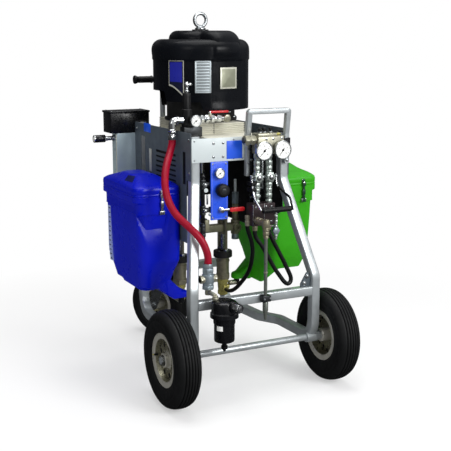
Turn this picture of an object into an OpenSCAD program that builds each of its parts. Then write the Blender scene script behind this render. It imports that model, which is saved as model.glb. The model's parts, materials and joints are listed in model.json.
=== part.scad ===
/* [Front wheels] */
// Radius of a front tyre
wheel_r = 165; // [155:1:175]
// Width of a front tyre
tyre_w = 86; // [78:1:92]
// Distance between the middles of the front tyres
track = 608; // [604:1:630]
// Radius of the seat that a front tyre sits on
rim_seat_r = 76; // [70:1:84]
// Height of the rim's lip above the seat
rim_lip = 14; // [10:1:16]
// Thickness of the pressed rim sheet
rim_wall = 4; // [3:0.5:6]
// Length of a front hub
hub_len = 64; // [54:1:66]
// Radius of the front axle
axle_r = 12; // [10:0.5:14]
// Radial running clearance of every shaft in its hole
run_gap = 0.05; // [0.02:0.01:0.1]

/* [Frame] */
// Width of the square frame tube
tube = 32; // [28:1:34]
// Half distance between the upright posts
post_x = 170; // [168:1:176]
// Half distance between the splayed feet
foot_x = 234; // [230:1:238]
// Distance of the front posts behind the axle
front_post_y = 107; // [104:1:112]
// Distance of the rear posts behind the axle
rear_post_y = 573; // [566:1:580]
// Height of the bottom rails' middle
rail_z = 166; // [162:1:170]
// Height where the front posts start to splay
knee_z = 722; // [710:1:735]
// Height where the splay ends
ankle_z = 390; // [380:1:400]
// Height of the front posts' tops
front_post_top = 885; // [880:1:892]
// Height of the rear posts' tops
rear_post_top = 897; // [890:1:905]
// Height of the deck that the air motor stands on
deck_z = 868; // [864:1:872]
// Thickness of the deck plate
deck_t = 6; // [5:0.5:8]
// Height of the lower front cross tube's middle
cross_z = 340; // [330:1:350]
// Distance of the lower front cross tube in front of the axle
cross_y = 15; // [14:0.5:16]
// Wall of the bushes that carry the axle
bush_wall = 7; // [5:0.5:9]

/* [Caster] */
// Radius of the caster's tyre
caster_r = 130; // [124:1:132]
// Width of the caster's tyre
caster_w = 76; // [68:1:78]
// Distance of the swivel axis behind the front axle
swivel_y = 705; // [704:1:715]
// Trail of the caster's wheel behind its swivel axis
trail = 55; // [50:1:57]
// Angle that the caster is turned to at rest
caster_turn = 30; // [0:1:60]
// Radius of the caster's axle bolt
caster_axle_r = 8; // [7:0.5:10]
// Thickness of the fork's plates
fork_t = 5; // [4:0.5:7]
// Thickness of the caster's top plate
top_plate_t = 6; // [5:0.5:8]

/* [Air motor] */
// Distance of the motor's axis behind the front axle
motor_y = 410; // [406:1:414]
// Radius of the motor's cover
cover_r = 177; // [170:1:180]
// Wall of the motor's cover
cover_wall = 4; // [3:0.5:6]
// Height of the cover's lower edge
cover_bottom = 955; // [950:1:960]
// Height of the cover's shoulder
cover_shoulder = 1200; // [1192:1:1206]
// Height of the cover's top
cover_top = 1230; // [1224:1:1236]
// Radius of the raised middle of the cover's top
crown_r = 114; // [108:1:120]
// Height of the ribbed tie block above the deck plate
tie_block_h = 38; // [34:1:42]
// Half width of the ribbed tie block
tie_block_x = 92; // [88:1:98]
// Inner radius of the lifting eye
eye_r = 17; // [14:0.5:19]
// Thickness of the lifting eye's bar
eye_bar = 12; // [10:0.5:13]

/* [Pumps] */
// Half distance between the two pump axes
pump_x = 90; // [86:1:94]
// Radius of the pump rods
rod_r = 9; // [8:0.5:11]
// Radius of the motor's output shaft
shaft_r = 14; // [12:0.5:16]
// Radius of the tie rods
tie_rod_r = 6; // [5:0.5:7]
// Distance of each tie rod from its pump's axis
tie_rod_off = 27; // [26:0.5:28]
// Radius of the pump heads
head_r = 36; // [34:0.5:40]
// Height of the pump heads' top
head_top = 410; // [404:1:414]
// Height of a pump head
head_h = 25; // [20:1:30]
// Radius of the pump cylinders
cylinder_r = 24; // [22:0.5:28]
// Height of the pump cylinders' lower end
cylinder_bottom = 300; // [295:1:306]
// Height of the yoke's lower face at rest
yoke_z = 485; // [480:1:490]
// Thickness of the yoke
yoke_h = 28; // [24:1:32]

/* [Hoppers] */
// Length of a hopper along the cart
hopper_len = 313; // [308:1:316]
// Outer half distance of the hoppers
hopper_out = 345; // [338:1:347]
// Distance of the hoppers' front faces behind the axle
hopper_y = 180; // [176:1:184]
// Height of the hoppers' rims
hopper_top = 681; // [676:1:688]
// Height of the hoppers' floor at the outer side
hopper_low = 348; // [342:1:356]
// Height of the hoppers' lowest point, under the outlet
hopper_bottom = 294; // [291:1:298]
// Wall of the hoppers and lids
hopper_wall = 4; // [3:0.5:5]
// Height of a lid's skirt
lid_skirt = 27; // [24:1:32]
// Height of a lid's top above its skirt
lid_rise = 37; // [30:1:44]
// Overhang of the hoppers' rims and lids over their bodies
rim_over = 11; // [8:1:12]

/* [Panels and handles] */
// Thickness of the side panels
panel_t = 2; // [1.5:0.5:3]
// Height of the side panels' lower edge
side_panel_low = 520; // [500:1:560]
// Height of the side panels' upper edge
side_panel_top = 896; // [886:1:900]
// Thickness of the front panel
front_panel_t = 3; // [2:0.5:4]
// Width of the gate handle's square bar
gate_w = 18; // [16:1:22]
// Height of the gate handle's top bar
gate_top = 962; // [955:1:980]
// Height of the rear handle's bar
handle_z = 1051; // [1040:1:1065]
// Radius of the rear handle's tube
handle_r = 10; // [8:0.5:11]

/* [Hidden] */

// Smoothness of the round pieces, and of the pieces that are hulls
$fn = 48;
hull_fn = 24;
eps = 0.01;
seat_gap = 0.3;

// Distance from the front axle back to the model's origin
origin_y = (swivel_y + (trail + caster_r - 0.03 * caster_w) * cos(caster_turn)
    + 0.27 * caster_w * sin(caster_turn) - wheel_r) / 2;

// Frame
half_tube = tube / 2;
inner_x = post_x - half_tube;
outer_x = post_x + half_tube;
foot_inner = foot_x - half_tube;
foot_outer = foot_x + half_tube;
rail_jog_x = 190;
rail_jog_y = 300;
rail_jog_start = 222;
corner_r_front = 62;
corner_r_rear = 70;
knee_r = 60;
jog_r = 60;
bend_steps = 4;
rear_cross_z = 322;
caster_rail_x = 45;
caster_rail_end = 770;
front_face_y = front_post_y - half_tube;
rear_face_y = rear_post_y + half_tube;

// Wheels
wheel_x = track / 2;
sleeve_r = axle_r + 4;
axle_end = wheel_x + hub_len / 2 + 9.5;
nut_r = 18;
hub_r = 24;
tyre_bead = tyre_w * 0.35;

// Caster
caster_crown_z = rear_cross_z - half_tube - top_plate_t - 24;
caster_hub_len = caster_w + 12;
caster_seat_r = 62;
caster_lip = 10;
kingpin_r = 8;

// Motor
block_front = 240;
base_z = deck_z + deck_t + tie_block_h;
base_flange_r = 132;
base_flange_h = 10;
base_r = 124;
base_h = 100;
motor_cyl_r = 78;
cover_in_top = cover_top - cover_wall;
ledge_z = 1130;
ledge_step = 3;
lobe_r = cover_r - 4;
lobe_turn = -108;
lobe_angle = 62;
grille_turn = -22.5;
grille_w = 56;
grille_z0 = 1017;
grille_h = 110;
grille_fins = 10;
washer_r = 30;
washer_h = 4;
eye_collar_h = 9;
eye_z = cover_top + washer_h + eye_collar_h - 5 + eye_r + eye_bar;

// Pumps
shaft_top = 1000;
yoke_half = pump_x + 65;
guide_x = yoke_half - 12;
yoke_half_y = 16;
rod_bottom = 340;
intake_bottom = 236;
intake_r = 18;

// Hoppers
back_panel_low = 600;
hopper_in = outer_x + panel_t;
hopper_knee = hopper_low + 104;
rim_low = hopper_top - 60;
lip_low = hopper_top - 22;
recess_top = hopper_top - 68;
recess_depth = 28;
recess_low = hopper_top - 181;
rim_front = hopper_y - rim_over;
latch_left_x = 262;
latch_right_x = 296;
latch_z = hopper_top - 56;
hopper_r = 22;
hopper_corner = 32;
hopper_mid_y = hopper_y + hopper_len / 2;
nose_x = 150;
nose_r = 22;
hopper_outlet_z = 278;
hinge_y = hopper_y + hopper_len + rim_over + 6;
hinge_r = 6;
hinge_pin_r = 3;

// Handles
handle_half = cover_r + 7;
handle_y = max(rear_face_y, motor_y + cover_r + 2) + handle_r + 1;
riser_x = 70;
grip_in = 112;
grip_r = 14;
gate_y = front_face_y - gate_w / 2;
gate_left_x = 20;
gate_lean = 11;

// Control panel
panel_x0 = -117;
panel_w = 64;
panel_low = 600;
front_low = 798;
front_high = 878;
panel_plate_t = 6;
panel_face_y = front_face_y - panel_plate_t;
panel_mid = panel_x0 + 36;
knob_z = 702;
knob_r = 24;
small_gauge_z = 760;
valve_z = 634;

// Air line on top
reg_x = -152;
reg_y = 200;
reg_r = 18;
air_stem_x = reg_x + 88;
air_z = 940;
air_out_z = 932;
elbow_x = -211;

// Mixing manifold
plate_y = gate_y - gate_w / 2;
plate_t = 6;
man_y0 = 22;
man_y1 = plate_y - plate_t;
man_mid_y = (man_y0 + man_y1) / 2;
man_x0 = 28;
man_x1 = 128;
man_z0 = 822;
man_z1 = 892;
chain_x = [36, 83];
chain_r = 9;
lever_z = 742;
lever_shaft_r = 5;
arm_left_x = 14;
arm_right_x = 109;
grip_y = -29;
grip_z = 640;
block_z0 = 579;
block_z1 = 655;
mixer_x = 23;
mixer_y = -45;
mixer_r = 6;
mixer_bottom = 268;

// Filter
filter_x = -150;
filter_y = -80;
filter_head_r = 47;
filter_head_z = 311;
filter_head_h = 56;
filter_bowl_r = 34;
filter_bottom = 227;
inlet_turn = 20;
inlet_r = 9.5;
inlet_up = 40;
inlet_len = 24;
tee_x = -176;
tee_y = -12;
tee_z = 392;

// Routes of the hoses, from the fitting at one end to the fitting at the other
red_hose_r = 12.5;
red_hose_route = [
    [-211, 190, 868], [-211, 190, 856], [-217, 186, 840], [-232, 170, 815], [-250, 150, 790],
    [-264, 130, 762], [-274, 110, 731], [-277, 90, 698], [-271, 71, 664], [-258, 54, 636],
    [-240, 34, 613], [-223, 16, 593], [-206, 3, 572], [-192, -5, 550], [-182, -10, 525],
    [-176, -12, 500], [-176, -12, 478]
];
black_hose_r = 7.5;
loop_hose_route = [
    [4, 50, 577], [4, 50, 567], [12, 51, 545], [23, 54, 515], [31, 62, 480], [38, 84, 440],
    [48, 118, 402], [58, 162, 368], [69, 212, 336], [80, 270, 300], [87, 325, 272],
    [90, 362, 262], [90, 382, 262]
];
u_hose_route = [
    [27, 40, 560], [27, 40, 552], [29, 39.7, 542], [33.5, 39, 532], [40, 38, 522], [53, 36, 505],
    [68, 35, 479], [84, 34, 452], [102, 32, 420], [119, 31, 396], [133, 30, 377], [143, 30, 366],
    [154, 30, 360], [164, 31, 364], [168, 32, 375], [165, 33, 390], [152, 35, 417],
    [137, 36, 447], [122, 38, 475], [107, 40, 503], [99.5, 41.2, 518], [92.5, 42.8, 533],
    [87.5, 44, 545], [85, 44.5, 552], [85, 44.5, 558]
];

// ---------- helpers ----------

function unit(v) = v / norm(v);

// Points of the arc that rounds the corner b of the path a-b-c
function corner(a, b, c, r, n) =
    let (
        u = unit(a - b),
        w = unit(c - b),
        half = acos(u * w) / 2,
        centre = b + unit(u + w) * r / sin(half),
        p = b + u * r / tan(half),
        q = b + w * r / tan(half),
        e1 = unit(p - centre),
        e2 = unit((q - centre) - ((q - centre) * e1) * e1),
        turn = 180 - 2 * half
    )
    [for (i = [0:n]) centre + r * (cos(turn * i / n) * e1 + sin(turn * i / n) * e2)];

// A path of straight runs whose corners are rounded to the radii given
function rounded_path(points, radii, n) = [
    points[0],
    for (i = [1:len(points) - 2]) each corner(points[i - 1], points[i], points[i + 1], radii[i - 1], n),
    points[len(points) - 1]
];

// Direction of a path at its point i
function heading(path, i) =
    unit(path[min(i + 1, len(path) - 1)] - path[max(i - 1, 0)]);

// Side direction at each point of a path, carried along without twist
function sides(path, start) = [
    for (
        i = 0, s = start;
        i < len(path);
        i = i + 1, s = i < len(path) ? let (t = heading(path, i)) unit(s - (s * t) * t) : s
    )
    let (t = heading(path, i)) unit(s - (s * t) * t)
];

// Side direction at each point of a path that stays as near as it can to one direction
function fixed_sides(path, start) = [
    for (i = [0:len(path) - 1]) let (t = heading(path, i)) unit(start - (start * t) * t)
];

// A profile carried along a path, free of twist or held to its starting side
module sweep(path, profile, start, held = false) {
    count = len(profile);
    rings = len(path);
    side = held ? fixed_sides(path, start) : sides(path, start);
    points = [
        for (i = [0:rings - 1])
            let (n1 = side[i], n2 = cross(heading(path, i), n1))
            for (p = profile) path[i] + p[0] * n1 + p[1] * n2
    ];
    faces = [
        [for (j = [0:count - 1]) j],
        for (i = [0:rings - 2])
            for (j = [0:count - 1])
                let (
                    a = i * count + j,
                    b = i * count + (j + 1) % count
                )
                each [[a, a + count, b + count], [a, b + count, b]],
        [for (j = [count - 1:-1:0]) (rings - 1) * count + j]
    ];
    polyhedron(points = points, faces = faces, convexity = 6);
}

// Section of a square tube with its corners cut
function square_section(w, c) = [
    [w / 2, c - w / 2], [w / 2, w / 2 - c], [w / 2 - c, w / 2], [c - w / 2, w / 2],
    [-w / 2, w / 2 - c], [-w / 2, c - w / 2], [c - w / 2, -w / 2], [w / 2 - c, -w / 2]
];

function round_section(r, n) = [for (i = [0:n - 1]) r * [cos(360 * i / n), sin(360 * i / n)]];

// Puts a piece that is drawn from the front axle's line into the model's frame
module cart() {
    translate([0, -origin_y, 0])
        children();
}

module box(low, high) {
    translate(low)
        cube(high - low);
}

// Cylinders along X and Y that start at a point
module rod_x(at, r, len) {
    translate(at)
        rotate([0, 90, 0])
            cylinder(r = r, h = len);
}

module rod_y(at, r, len) {
    translate(at)
        rotate([-90, 0, 0])
            cylinder(r = r, h = len);
}

module rod_z(at, r, len) {
    translate(at)
        cylinder(r = r, h = len);
}

module both_sides() {
    for (s = [0, 1])
        mirror([s, 0, 0])
            children();
}

// A box with upright edges rounded to r
module round_box(low, high, r) {
    hull()
        for (x = [low[0] + r, high[0] - r])
            for (y = [low[1] + r, high[1] - r])
                translate([x, y, low[2]])
                    cylinder(r = r, h = high[2] - low[2], $fn = hull_fn);
}

// ---------- frame ----------

function side_path() = rounded_path(
    [
        [post_x, front_post_y, front_post_top],
        [post_x, front_post_y, knee_z],
        [foot_x, -cross_y, ankle_z],
        [foot_x, -cross_y, rail_z],
        [foot_x, rail_jog_start, rail_z],
        [rail_jog_x, rail_jog_y, rail_z],
        [post_x, rear_post_y, rail_z],
        [post_x, rear_post_y, rear_post_top]
    ],
    [knee_r, knee_r, corner_r_front, jog_r, jog_r, corner_r_rear],
    bend_steps
);

module side_frame() {
    difference() {
        sweep(side_path(), square_section(tube, 4), [1, 0, 0], true);
        rod_x([foot_inner - 20, 0, wheel_r], axle_r + bush_wall, tube + 40);
    }
}

module side_frame_left() {
    color("silver")
        cart()
            mirror([1, 0, 0])
                side_frame();
}

module side_frame_right() {
    color("silver")
        cart()
            side_frame();
}

// Square tube along X between two inner faces
module cross_tube(half, y, z) {
    box([-half, y - half_tube, z - half_tube], [half, y + half_tube, z + half_tube]);
}

// Gusset that stands on the lower cross tube and bears on the leg
module gusset() {
    t = 6;
    reach = 40;
    rise = 50;
    translate([foot_inner, -cross_y + t / 2, cross_z + half_tube])
        rotate([90, 0, 0])
            linear_extrude(t)
                polygon([[0, 0], [-reach, 0], [-reach, 12], [-18, rise], [-8, rise], [0, 22]]);
    for (p = [[-15, 36], [-26, 12]])
        rod_y([foot_inner + p[0], -cross_y - t / 2 - 5, cross_z + half_tube + p[1]], 6, 5);
}

module front_cross_tubes() {
    color("silver")
        cart() {
            cross_tube(foot_inner, -cross_y, cross_z);
            cross_tube(inner_x, front_post_y, deck_z - half_tube);
            gusset();
        }
}

module rear_frame() {
    color("silver")
        cart() {
            cross_tube(inner_x, rear_post_y, deck_z - half_tube);
            cross_tube(inner_x, rear_post_y, rear_cross_z);
            both_sides()
                box([caster_rail_x - half_tube, rear_face_y, rear_cross_z - half_tube],
                    [caster_rail_x + half_tube, caster_rail_end, rear_cross_z + half_tube]);
        }
}

// Bushes welded into the front corners, which carry the axle
module axle_bushes() {
    over = 6;
    color("silver")
        cart()
            both_sides()
                difference() {
                    rod_x([foot_inner - over, 0, wheel_r], axle_r + bush_wall, tube + 2 * over);
                    rod_x([foot_inner - over - 1, 0, wheel_r], axle_r + run_gap, tube + 2 * over + 2);
                }
}

// Black caps on the open tops of the posts
module tube_plugs() {
    t = 4;
    color("black")
        cart()
            for (p = [[-post_x, front_post_y, front_post_top], [post_x, front_post_y, front_post_top],
                      [-post_x, rear_post_y, rear_post_top], [post_x, rear_post_y, rear_post_top]])
                box(p - [half_tube, half_tube, 0], p + [half_tube, half_tube, t]);
}

// ---------- front wheels ----------

module wheel_axle() {
    color("silver")
        cart() {
            rod_x([-axle_end, 0, wheel_r], axle_r, 2 * axle_end);
            both_sides() {
                sleeve_start = foot_outer + 6;
                rod_x([sleeve_start, 0, wheel_r], sleeve_r, wheel_x - hub_len / 2 - seat_gap - sleeve_start);
                translate([wheel_x + hub_len / 2 + seat_gap, 0, wheel_r])
                    rotate([0, 90, 0])
                        cylinder(r = nut_r, h = axle_end - wheel_x - hub_len / 2 - seat_gap, $fn = 6);
            }
        }
}

// Half section of a tyre, from its bead on the seat to its grooved crown
module tyre_section(r, w, seat, lip) {
    bead = w * 0.36;
    difference() {
        polygon([
            [seat, -bead], [seat + lip + 1, -bead], [seat + lip + 6, -w * 0.42],
            [r * 0.5 + seat * 0.5, -w * 0.495], [r - w * 0.28, -w * 0.48], [r - w * 0.12, -w * 0.4],
            [r - w * 0.03, -w * 0.27], [r, -w * 0.1], [r, w * 0.1], [r - w * 0.03, w * 0.27],
            [r - w * 0.12, w * 0.4], [r - w * 0.28, w * 0.48], [r * 0.5 + seat * 0.5, w * 0.495],
            [seat + lip + 6, w * 0.42], [seat + lip + 1, bead], [seat, bead]
        ]);
        for (x = [-0.27, -0.1, 0.1, 0.27])
            translate([r - w * 0.05 - 1, w * x - 1.5])
                square([w * 0.05 + 2, 3]);
    }
}

module tyre(r, w, seat, lip) {
    rotate([0, 90, 0])
        rotate_extrude($fn = 96)
            tyre_section(r, w, seat, lip);
}

// Pressed rim: barrel with two lips, dished web with a ring of holes, and a hub
module rim(seat, lip, w, wall, hub, hub_half, bore, holes) {
    edge = w * 0.36 + wall / 2;
    web_x = w * 0.16;
    rotate([0, 90, 0])
        difference() {
            rotate_extrude($fn = 72)
                polygon([
                    [bore, -hub_half], [hub, -hub_half], [hub, web_x - wall],
                    [hub + 8, web_x - wall], [seat - 14, web_x + 4 - wall], [seat - wall, web_x - 6 - wall],
                    [seat - wall, -edge], [seat + lip, -edge], [seat + lip, -edge + wall / 2], [seat, -edge + wall / 2],
                    [seat, edge - wall / 2], [seat + lip, edge - wall / 2], [seat + lip, edge], [seat - wall, edge],
                    [seat - wall, web_x - 6], [seat - 14, web_x + 4], [hub + 8, web_x],
                    [hub, web_x], [hub, hub_half], [bore, hub_half]
                ]);
            for (i = [0:holes - 1])
                rotate([0, 0, 360 * i / holes])
                    translate([(hub + seat) / 2, 0, web_x - wall - 12])
                        cylinder(r = (seat - hub) * 0.15, h = wall + 30, $fn = 24);
        }
}

module front_tyre() {
    translate([wheel_x, 0, wheel_r])
        tyre(wheel_r, tyre_w, rim_seat_r, rim_lip);
}

module front_rim() {
    translate([wheel_x, 0, wheel_r])
        rim(rim_seat_r, rim_lip, tyre_w, rim_wall, hub_r, hub_len / 2, axle_r + run_gap, 8);
}

module tyre_left() {
    color("black")
        cart()
            mirror([1, 0, 0])
                front_tyre();
}

module rim_left() {
    color("lightgray")
        cart()
            mirror([1, 0, 0])
                front_rim();
}

module tyre_right() {
    color("black")
        cart()
            front_tyre();
}

module rim_right() {
    color("lightgray")
        cart()
            front_rim();
}

// ---------- caster ----------

module caster_plate() {
    top = rear_cross_z - half_tube;
    color("silver")
        cart()
            translate([0, swivel_y, 0]) {
                box([-60, -50, top - top_plate_t], [60, 50, top]);
                rod_z([0, 0, top - top_plate_t - 8], 34, 8);
                rod_z([0, 0, caster_crown_z - fork_t - 6], kingpin_r, top - top_plate_t - caster_crown_z + fork_t + 6);
                rod_z([0, 0, caster_crown_z - fork_t - 8], kingpin_r + 6, 8 - seat_gap);
            }
}

// The turned and trailing place of the caster's wheel
module caster_place() {
    translate([0, swivel_y, 0])
        rotate([0, 0, caster_turn])
            children();
}

module fork_leg() {
    translate([caster_w / 2 + 7, 0, 0])
        rotate([90, 0, 90])
            linear_extrude(fork_t)
                difference() {
                    hull() {
                        translate([-26, caster_crown_z - fork_t])
                            square([66, fork_t]);
                        translate([trail, caster_r])
                            circle(r = 20);
                    }
                    translate([trail, caster_r])
                        circle(r = caster_axle_r + run_gap);
                }
}

module caster_fork() {
    half = caster_w / 2 + 7;
    color("silver")
        cart()
            caster_place() {
                difference() {
                    union() {
                        box([-half, -30, caster_crown_z - fork_t], [half, 44, caster_crown_z]);
                        rod_z([0, 0, caster_crown_z], 32, 24 - 8 - seat_gap);
                    }
                    rod_z([0, 0, caster_crown_z - fork_t - 1], kingpin_r + run_gap, 30);
                }
                both_sides()
                    fork_leg();
                rod_x([-half - fork_t - 8, trail, caster_r], caster_axle_r, 2 * (half + fork_t + 8));
                both_sides()
                    translate([half + fork_t, trail, caster_r])
                        rotate([0, 90, 0])
                            cylinder(r = caster_axle_r + 5, h = 7, $fn = 6);
            }
}

module caster_tyre() {
    color("black")
        cart()
            caster_place()
                translate([0, trail, caster_r])
                    tyre(caster_r, caster_w, caster_seat_r, caster_lip);
}

module caster_rim() {
    color("lightgray")
        cart()
            caster_place()
                translate([0, trail, caster_r])
                    rim(caster_seat_r, caster_lip, caster_w, rim_wall, 20, caster_w / 2 + 7 - seat_gap,
                        caster_axle_r + run_gap, 5);
}

// ---------- handles ----------

module rear_handle() {
    color("silver")
        cart() {
            rod_x([4 - handle_half, handle_y, handle_z], handle_r, 2 * (handle_half - 4));
            both_sides() {
                rod_z([riser_x, handle_y, deck_z - tube], handle_r, handle_z - deck_z + tube);
                box([riser_x - handle_r, rear_face_y, deck_z - tube], [riser_x + handle_r, handle_y, deck_z]);
            }
        }
}

module handle_grips() {
    len = handle_half - grip_in;
    color("black")
        cart()
            both_sides()
                translate([grip_in, handle_y, handle_z])
                    rotate([0, 90, 0])
                        rotate_extrude()
                            polygon([
                                [handle_r + run_gap, 0], [grip_r + 3, 0], [grip_r + 3, 4], [grip_r, 8],
                                [grip_r + 1, len * 0.4], [grip_r, len - 16], [grip_r + 5, len - 5],
                                [grip_r + 4, len], [0, len], [0, len - 4 + seat_gap],
                                [handle_r + run_gap, len - 4 + seat_gap]
                            ]);
}

module gate_handle() {
    path = rounded_path(
        [
            [gate_left_x, gate_y, 744],
            [gate_left_x, gate_y, deck_z + 14],
            [gate_left_x, gate_y - gate_lean, gate_top],
            [post_x, gate_y - gate_lean, gate_top],
            [post_x, gate_y, deck_z + 14],
            [post_x, gate_y, 780]
        ],
        [30, gate_w * 0.6, gate_w * 0.6, 30],
        bend_steps
    );
    color("silver")
        cart()
            sweep(path, square_section(gate_w, 2), [0, -1, 0], true);
}

// ---------- panels ----------

module side_panel() {
    difference() {
        box([outer_x, front_face_y, side_panel_low], [outer_x + panel_t, rear_face_y, side_panel_top]);
        box([outer_x - 1, front_face_y - 1, side_panel_low - 1],
            [outer_x + panel_t + 1, front_post_y + half_tube + 5, knee_z + 14]);
    }
}

// Louvres and slots, which only the left panel has
module panel_slots() {
    for (i = [0:5])
        box([outer_x - 1, 215, 805 - 17.5 * i], [outer_x + panel_t + 1, 390, 812 - 17.5 * i]);
    box([outer_x - 1, 134, 720], [outer_x + panel_t + 1, 158, 830]);
    box([outer_x - 1, 492, 560], [outer_x + panel_t + 1, 532, 850]);
}

module side_panels() {
    color("slategray")
        cart() {
            side_panel();
            mirror([1, 0, 0])
                difference() {
                    side_panel();
                    panel_slots();
                }
            // Back panel between the rear posts
            box([-post_x + half_tube, rear_post_y - panel_t, back_panel_low],
                [post_x - half_tube, rear_post_y, deck_z - tube]);
        }
}

module front_panel() {
    color("white")
        cart() {
            box([-outer_x, front_face_y - front_panel_t, front_low],
                [gate_left_x - gate_w / 2, front_face_y, front_high]);
            for (x = [-106, -70])
                for (z = [814, 860])
                    rod_y([x, front_face_y - front_panel_t - 2.5, z], 5, 2.5);
        }
}

// ---------- air motor ----------

module tie_plate() {
    back = rear_face_y - 6;
    top = deck_z + deck_t + tie_block_h;
    color("beige")
        cart()
            difference() {
                union() {
                    box([-tie_block_x - 16, front_face_y, deck_z], [tie_block_x + 16, rear_face_y, deck_z + deck_t]);
                    box([-tie_block_x, block_front, deck_z + deck_t - eps], [tie_block_x, back, top]);
                }
                for (z = [deck_z + deck_t + 8, deck_z + deck_t + 18, deck_z + deck_t + 28])
                    for (side = [0, 1])
                        mirror([side, 0, 0])
                            box([tie_block_x - 3, block_front - 1, z], [tie_block_x + 1, back + 1, z + 3]);
                for (z = [deck_z + deck_t + 8, deck_z + deck_t + 18, deck_z + deck_t + 28])
                    box([-tie_block_x - 1, block_front - 1, z], [tie_block_x + 1, block_front + 3, z + 3]);
                rod_z([0, motor_y, deck_z - 1], shaft_r + run_gap, tie_block_h + deck_t + 2);
            }
}

module motor_base() {
    color("dimgray")
        cart()
            translate([0, motor_y, base_z])
                difference() {
                    union() {
                        cylinder(r = base_flange_r, h = base_flange_h);
                        cylinder(r = base_r, h = base_h);
                        cylinder(r = motor_cyl_r, h = cover_in_top - base_z);
                    }
                    translate([0, 0, -1])
                        cylinder(r = shaft_r + 4, h = 180);
                    translate([0, 0, cover_in_top - base_z - 30])
                        cylinder(r = 8 + run_gap, h = 31);
                }
}

// Half outline of the cover's drum, shrunk by in
module drum_profile(in) {
    outer = cover_r - in;
    top = cover_shoulder - in;
    low = cover_bottom - (in > 0 ? 1 : 0);
    round_r = 36;
    polygon([
        [0, low],
        [outer - ledge_step, low],
        [outer - ledge_step, ledge_z - 4],
        [outer, ledge_z],
        for (a = [0:15:90])
            [outer - round_r + round_r * cos(a), top - round_r + round_r * sin(a)],
        [0, top]
    ]);
}

// Half outline of the crown on the drum, shrunk by in
module crown_profile(in, r, round_r) {
    outer = r - in;
    top = cover_top - in;
    polygon([
        [0, cover_shoulder - 50],
        [outer, cover_shoulder - 50],
        for (a = [0:15:90])
            [outer - round_r + round_r * cos(a), top - round_r + round_r * sin(a)],
        [0, top]
    ]);
}

module cover_form(in) {
    rotate_extrude($fn = 96)
        drum_profile(in);
    rotate_extrude($fn = 96)
        crown_profile(in, crown_r, 31);
    // Lobe at the front right, where the crown reaches out to the wall
    rotate([0, 0, lobe_turn + 0.8 * in])
        rotate_extrude(angle = lobe_angle - 1.6 * in, $fn = 96)
            crown_profile(in, lobe_r, 56);
}

module motor_cover() {
    color("black")
        cart()
            translate([0, motor_y, 0])
                difference() {
                    cover_form(0);
                    cover_form(cover_wall);
                    rod_z([0, 0, cover_top - 40], 8 + run_gap, 50);
                    // Window for the exhaust grille
                    rotate([0, 0, grille_turn])
                        box([-grille_w / 2 - seat_gap, -cover_r - 10, grille_z0 - seat_gap],
                            [grille_w / 2 + seat_gap, -cover_r + 40, grille_z0 + grille_h + seat_gap]);
                    // Raised edge on the left, above the regulator
                    box([-cover_r - 10, -cover_r - 10, cover_bottom - 10], [-70, -60, cover_bottom + 30]);
                    box([-cover_r - 10, -60 - eps, cover_bottom - 10], [-90, cover_r + 10, cover_bottom + 66]);
                }
}

// Finned insert of the cover
module exhaust_grille() {
    pitch = grille_h / grille_fins;
    color("lightgray")
        cart()
            translate([0, motor_y, 0])
                rotate([0, 0, grille_turn])
                    difference() {
                        box([-grille_w / 2, -cover_r - 1, grille_z0], [grille_w / 2, 8 - cover_r + 18, grille_z0 + grille_h]);
                        for (i = [0:grille_fins - 1])
                            box([-grille_w / 2 + 5, -cover_r - 2, grille_z0 + pitch * (i + 0.35)],
                                [grille_w / 2 + 1, 8 - cover_r + 4, grille_z0 + pitch * (i + 0.8)]);
                    }
}

module eye_washer() {
    color("black")
        cart()
            translate([0, motor_y, cover_top])
                difference() {
                    cylinder(r = washer_r, h = washer_h);
                    translate([0, 0, -1])
                        cylinder(r = 8 + run_gap, h = washer_h + 2);
                }
}

module lifting_eye() {
    outer = eye_r + eye_bar;
    color("silver")
        cart()
            translate([0, motor_y, 0]) {
                translate([0, 0, eye_z])
                    rotate([90, 0, 0])
                        rotate_extrude()
                            polygon([
                                [eye_r, -4], [eye_r + 3, -eye_bar / 2], [outer - 3, -eye_bar / 2], [outer, -3],
                                [outer, 3], [outer - 3, eye_bar / 2], [eye_r + 3, eye_bar / 2], [eye_r, 4]
                            ]);
                difference() {
                    rod_z([0, 0, cover_top + washer_h], 19, eye_collar_h);
                    translate([0, 0, eye_z])
                        rotate([90, 0, 0])
                            translate([0, 0, -30])
                                cylinder(r = outer - 1, h = 60);
                }
                rod_z([0, 0, cover_in_top - 28], 8, 28 + cover_wall + washer_h + 4);
            }
}

// ---------- pumps ----------

module tie_rods() {
    color("silver")
        cart()
            both_sides()
                for (y = [-tie_rod_off, tie_rod_off])
                    rod_z([pump_x, motor_y + y, head_top], tie_rod_r, deck_z - head_top);
}

module drive_yoke() {
    color("silver")
        cart()
            translate([0, motor_y, 0]) {
                rod_z([0, 0, yoke_z], shaft_r, shaft_top - yoke_z);
                rod_z([0, 0, yoke_z + yoke_h], shaft_r + 8, 26);
                box([-yoke_half, -yoke_half_y, yoke_z], [yoke_half, yoke_half_y, yoke_z + yoke_h]);
                both_sides() {
                    rod_z([pump_x, 0, rod_bottom], rod_r, yoke_z - rod_bottom);
                    rod_z([pump_x, 0, yoke_z + yoke_h], 14, 12);
                }
                // Guide on the yoke's right end
                rod_z([guide_x, 0, yoke_z - 14], 17, yoke_h + 26);
                rod_z([guide_x, 0, yoke_z - 36], 14, 22 + eps);
                rod_z([guide_x, 0, yoke_z + yoke_h + 12], 12, 62);
                rod_z([guide_x, 0, yoke_z + yoke_h + 74], 14, 43);
                rod_z([guide_x, 0, yoke_z + yoke_h + 117], 5, 51);
            }
}

module pump_heads() {
    color("darkgray")
        cart()
            both_sides()
                translate([pump_x, motor_y, 0])
                    difference() {
                        rod_z([0, 0, head_top - head_h], head_r, head_h);
                        rod_z([0, 0, head_top - head_h - 1], rod_r + run_gap, head_h + 2);
                    }
}

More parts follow.
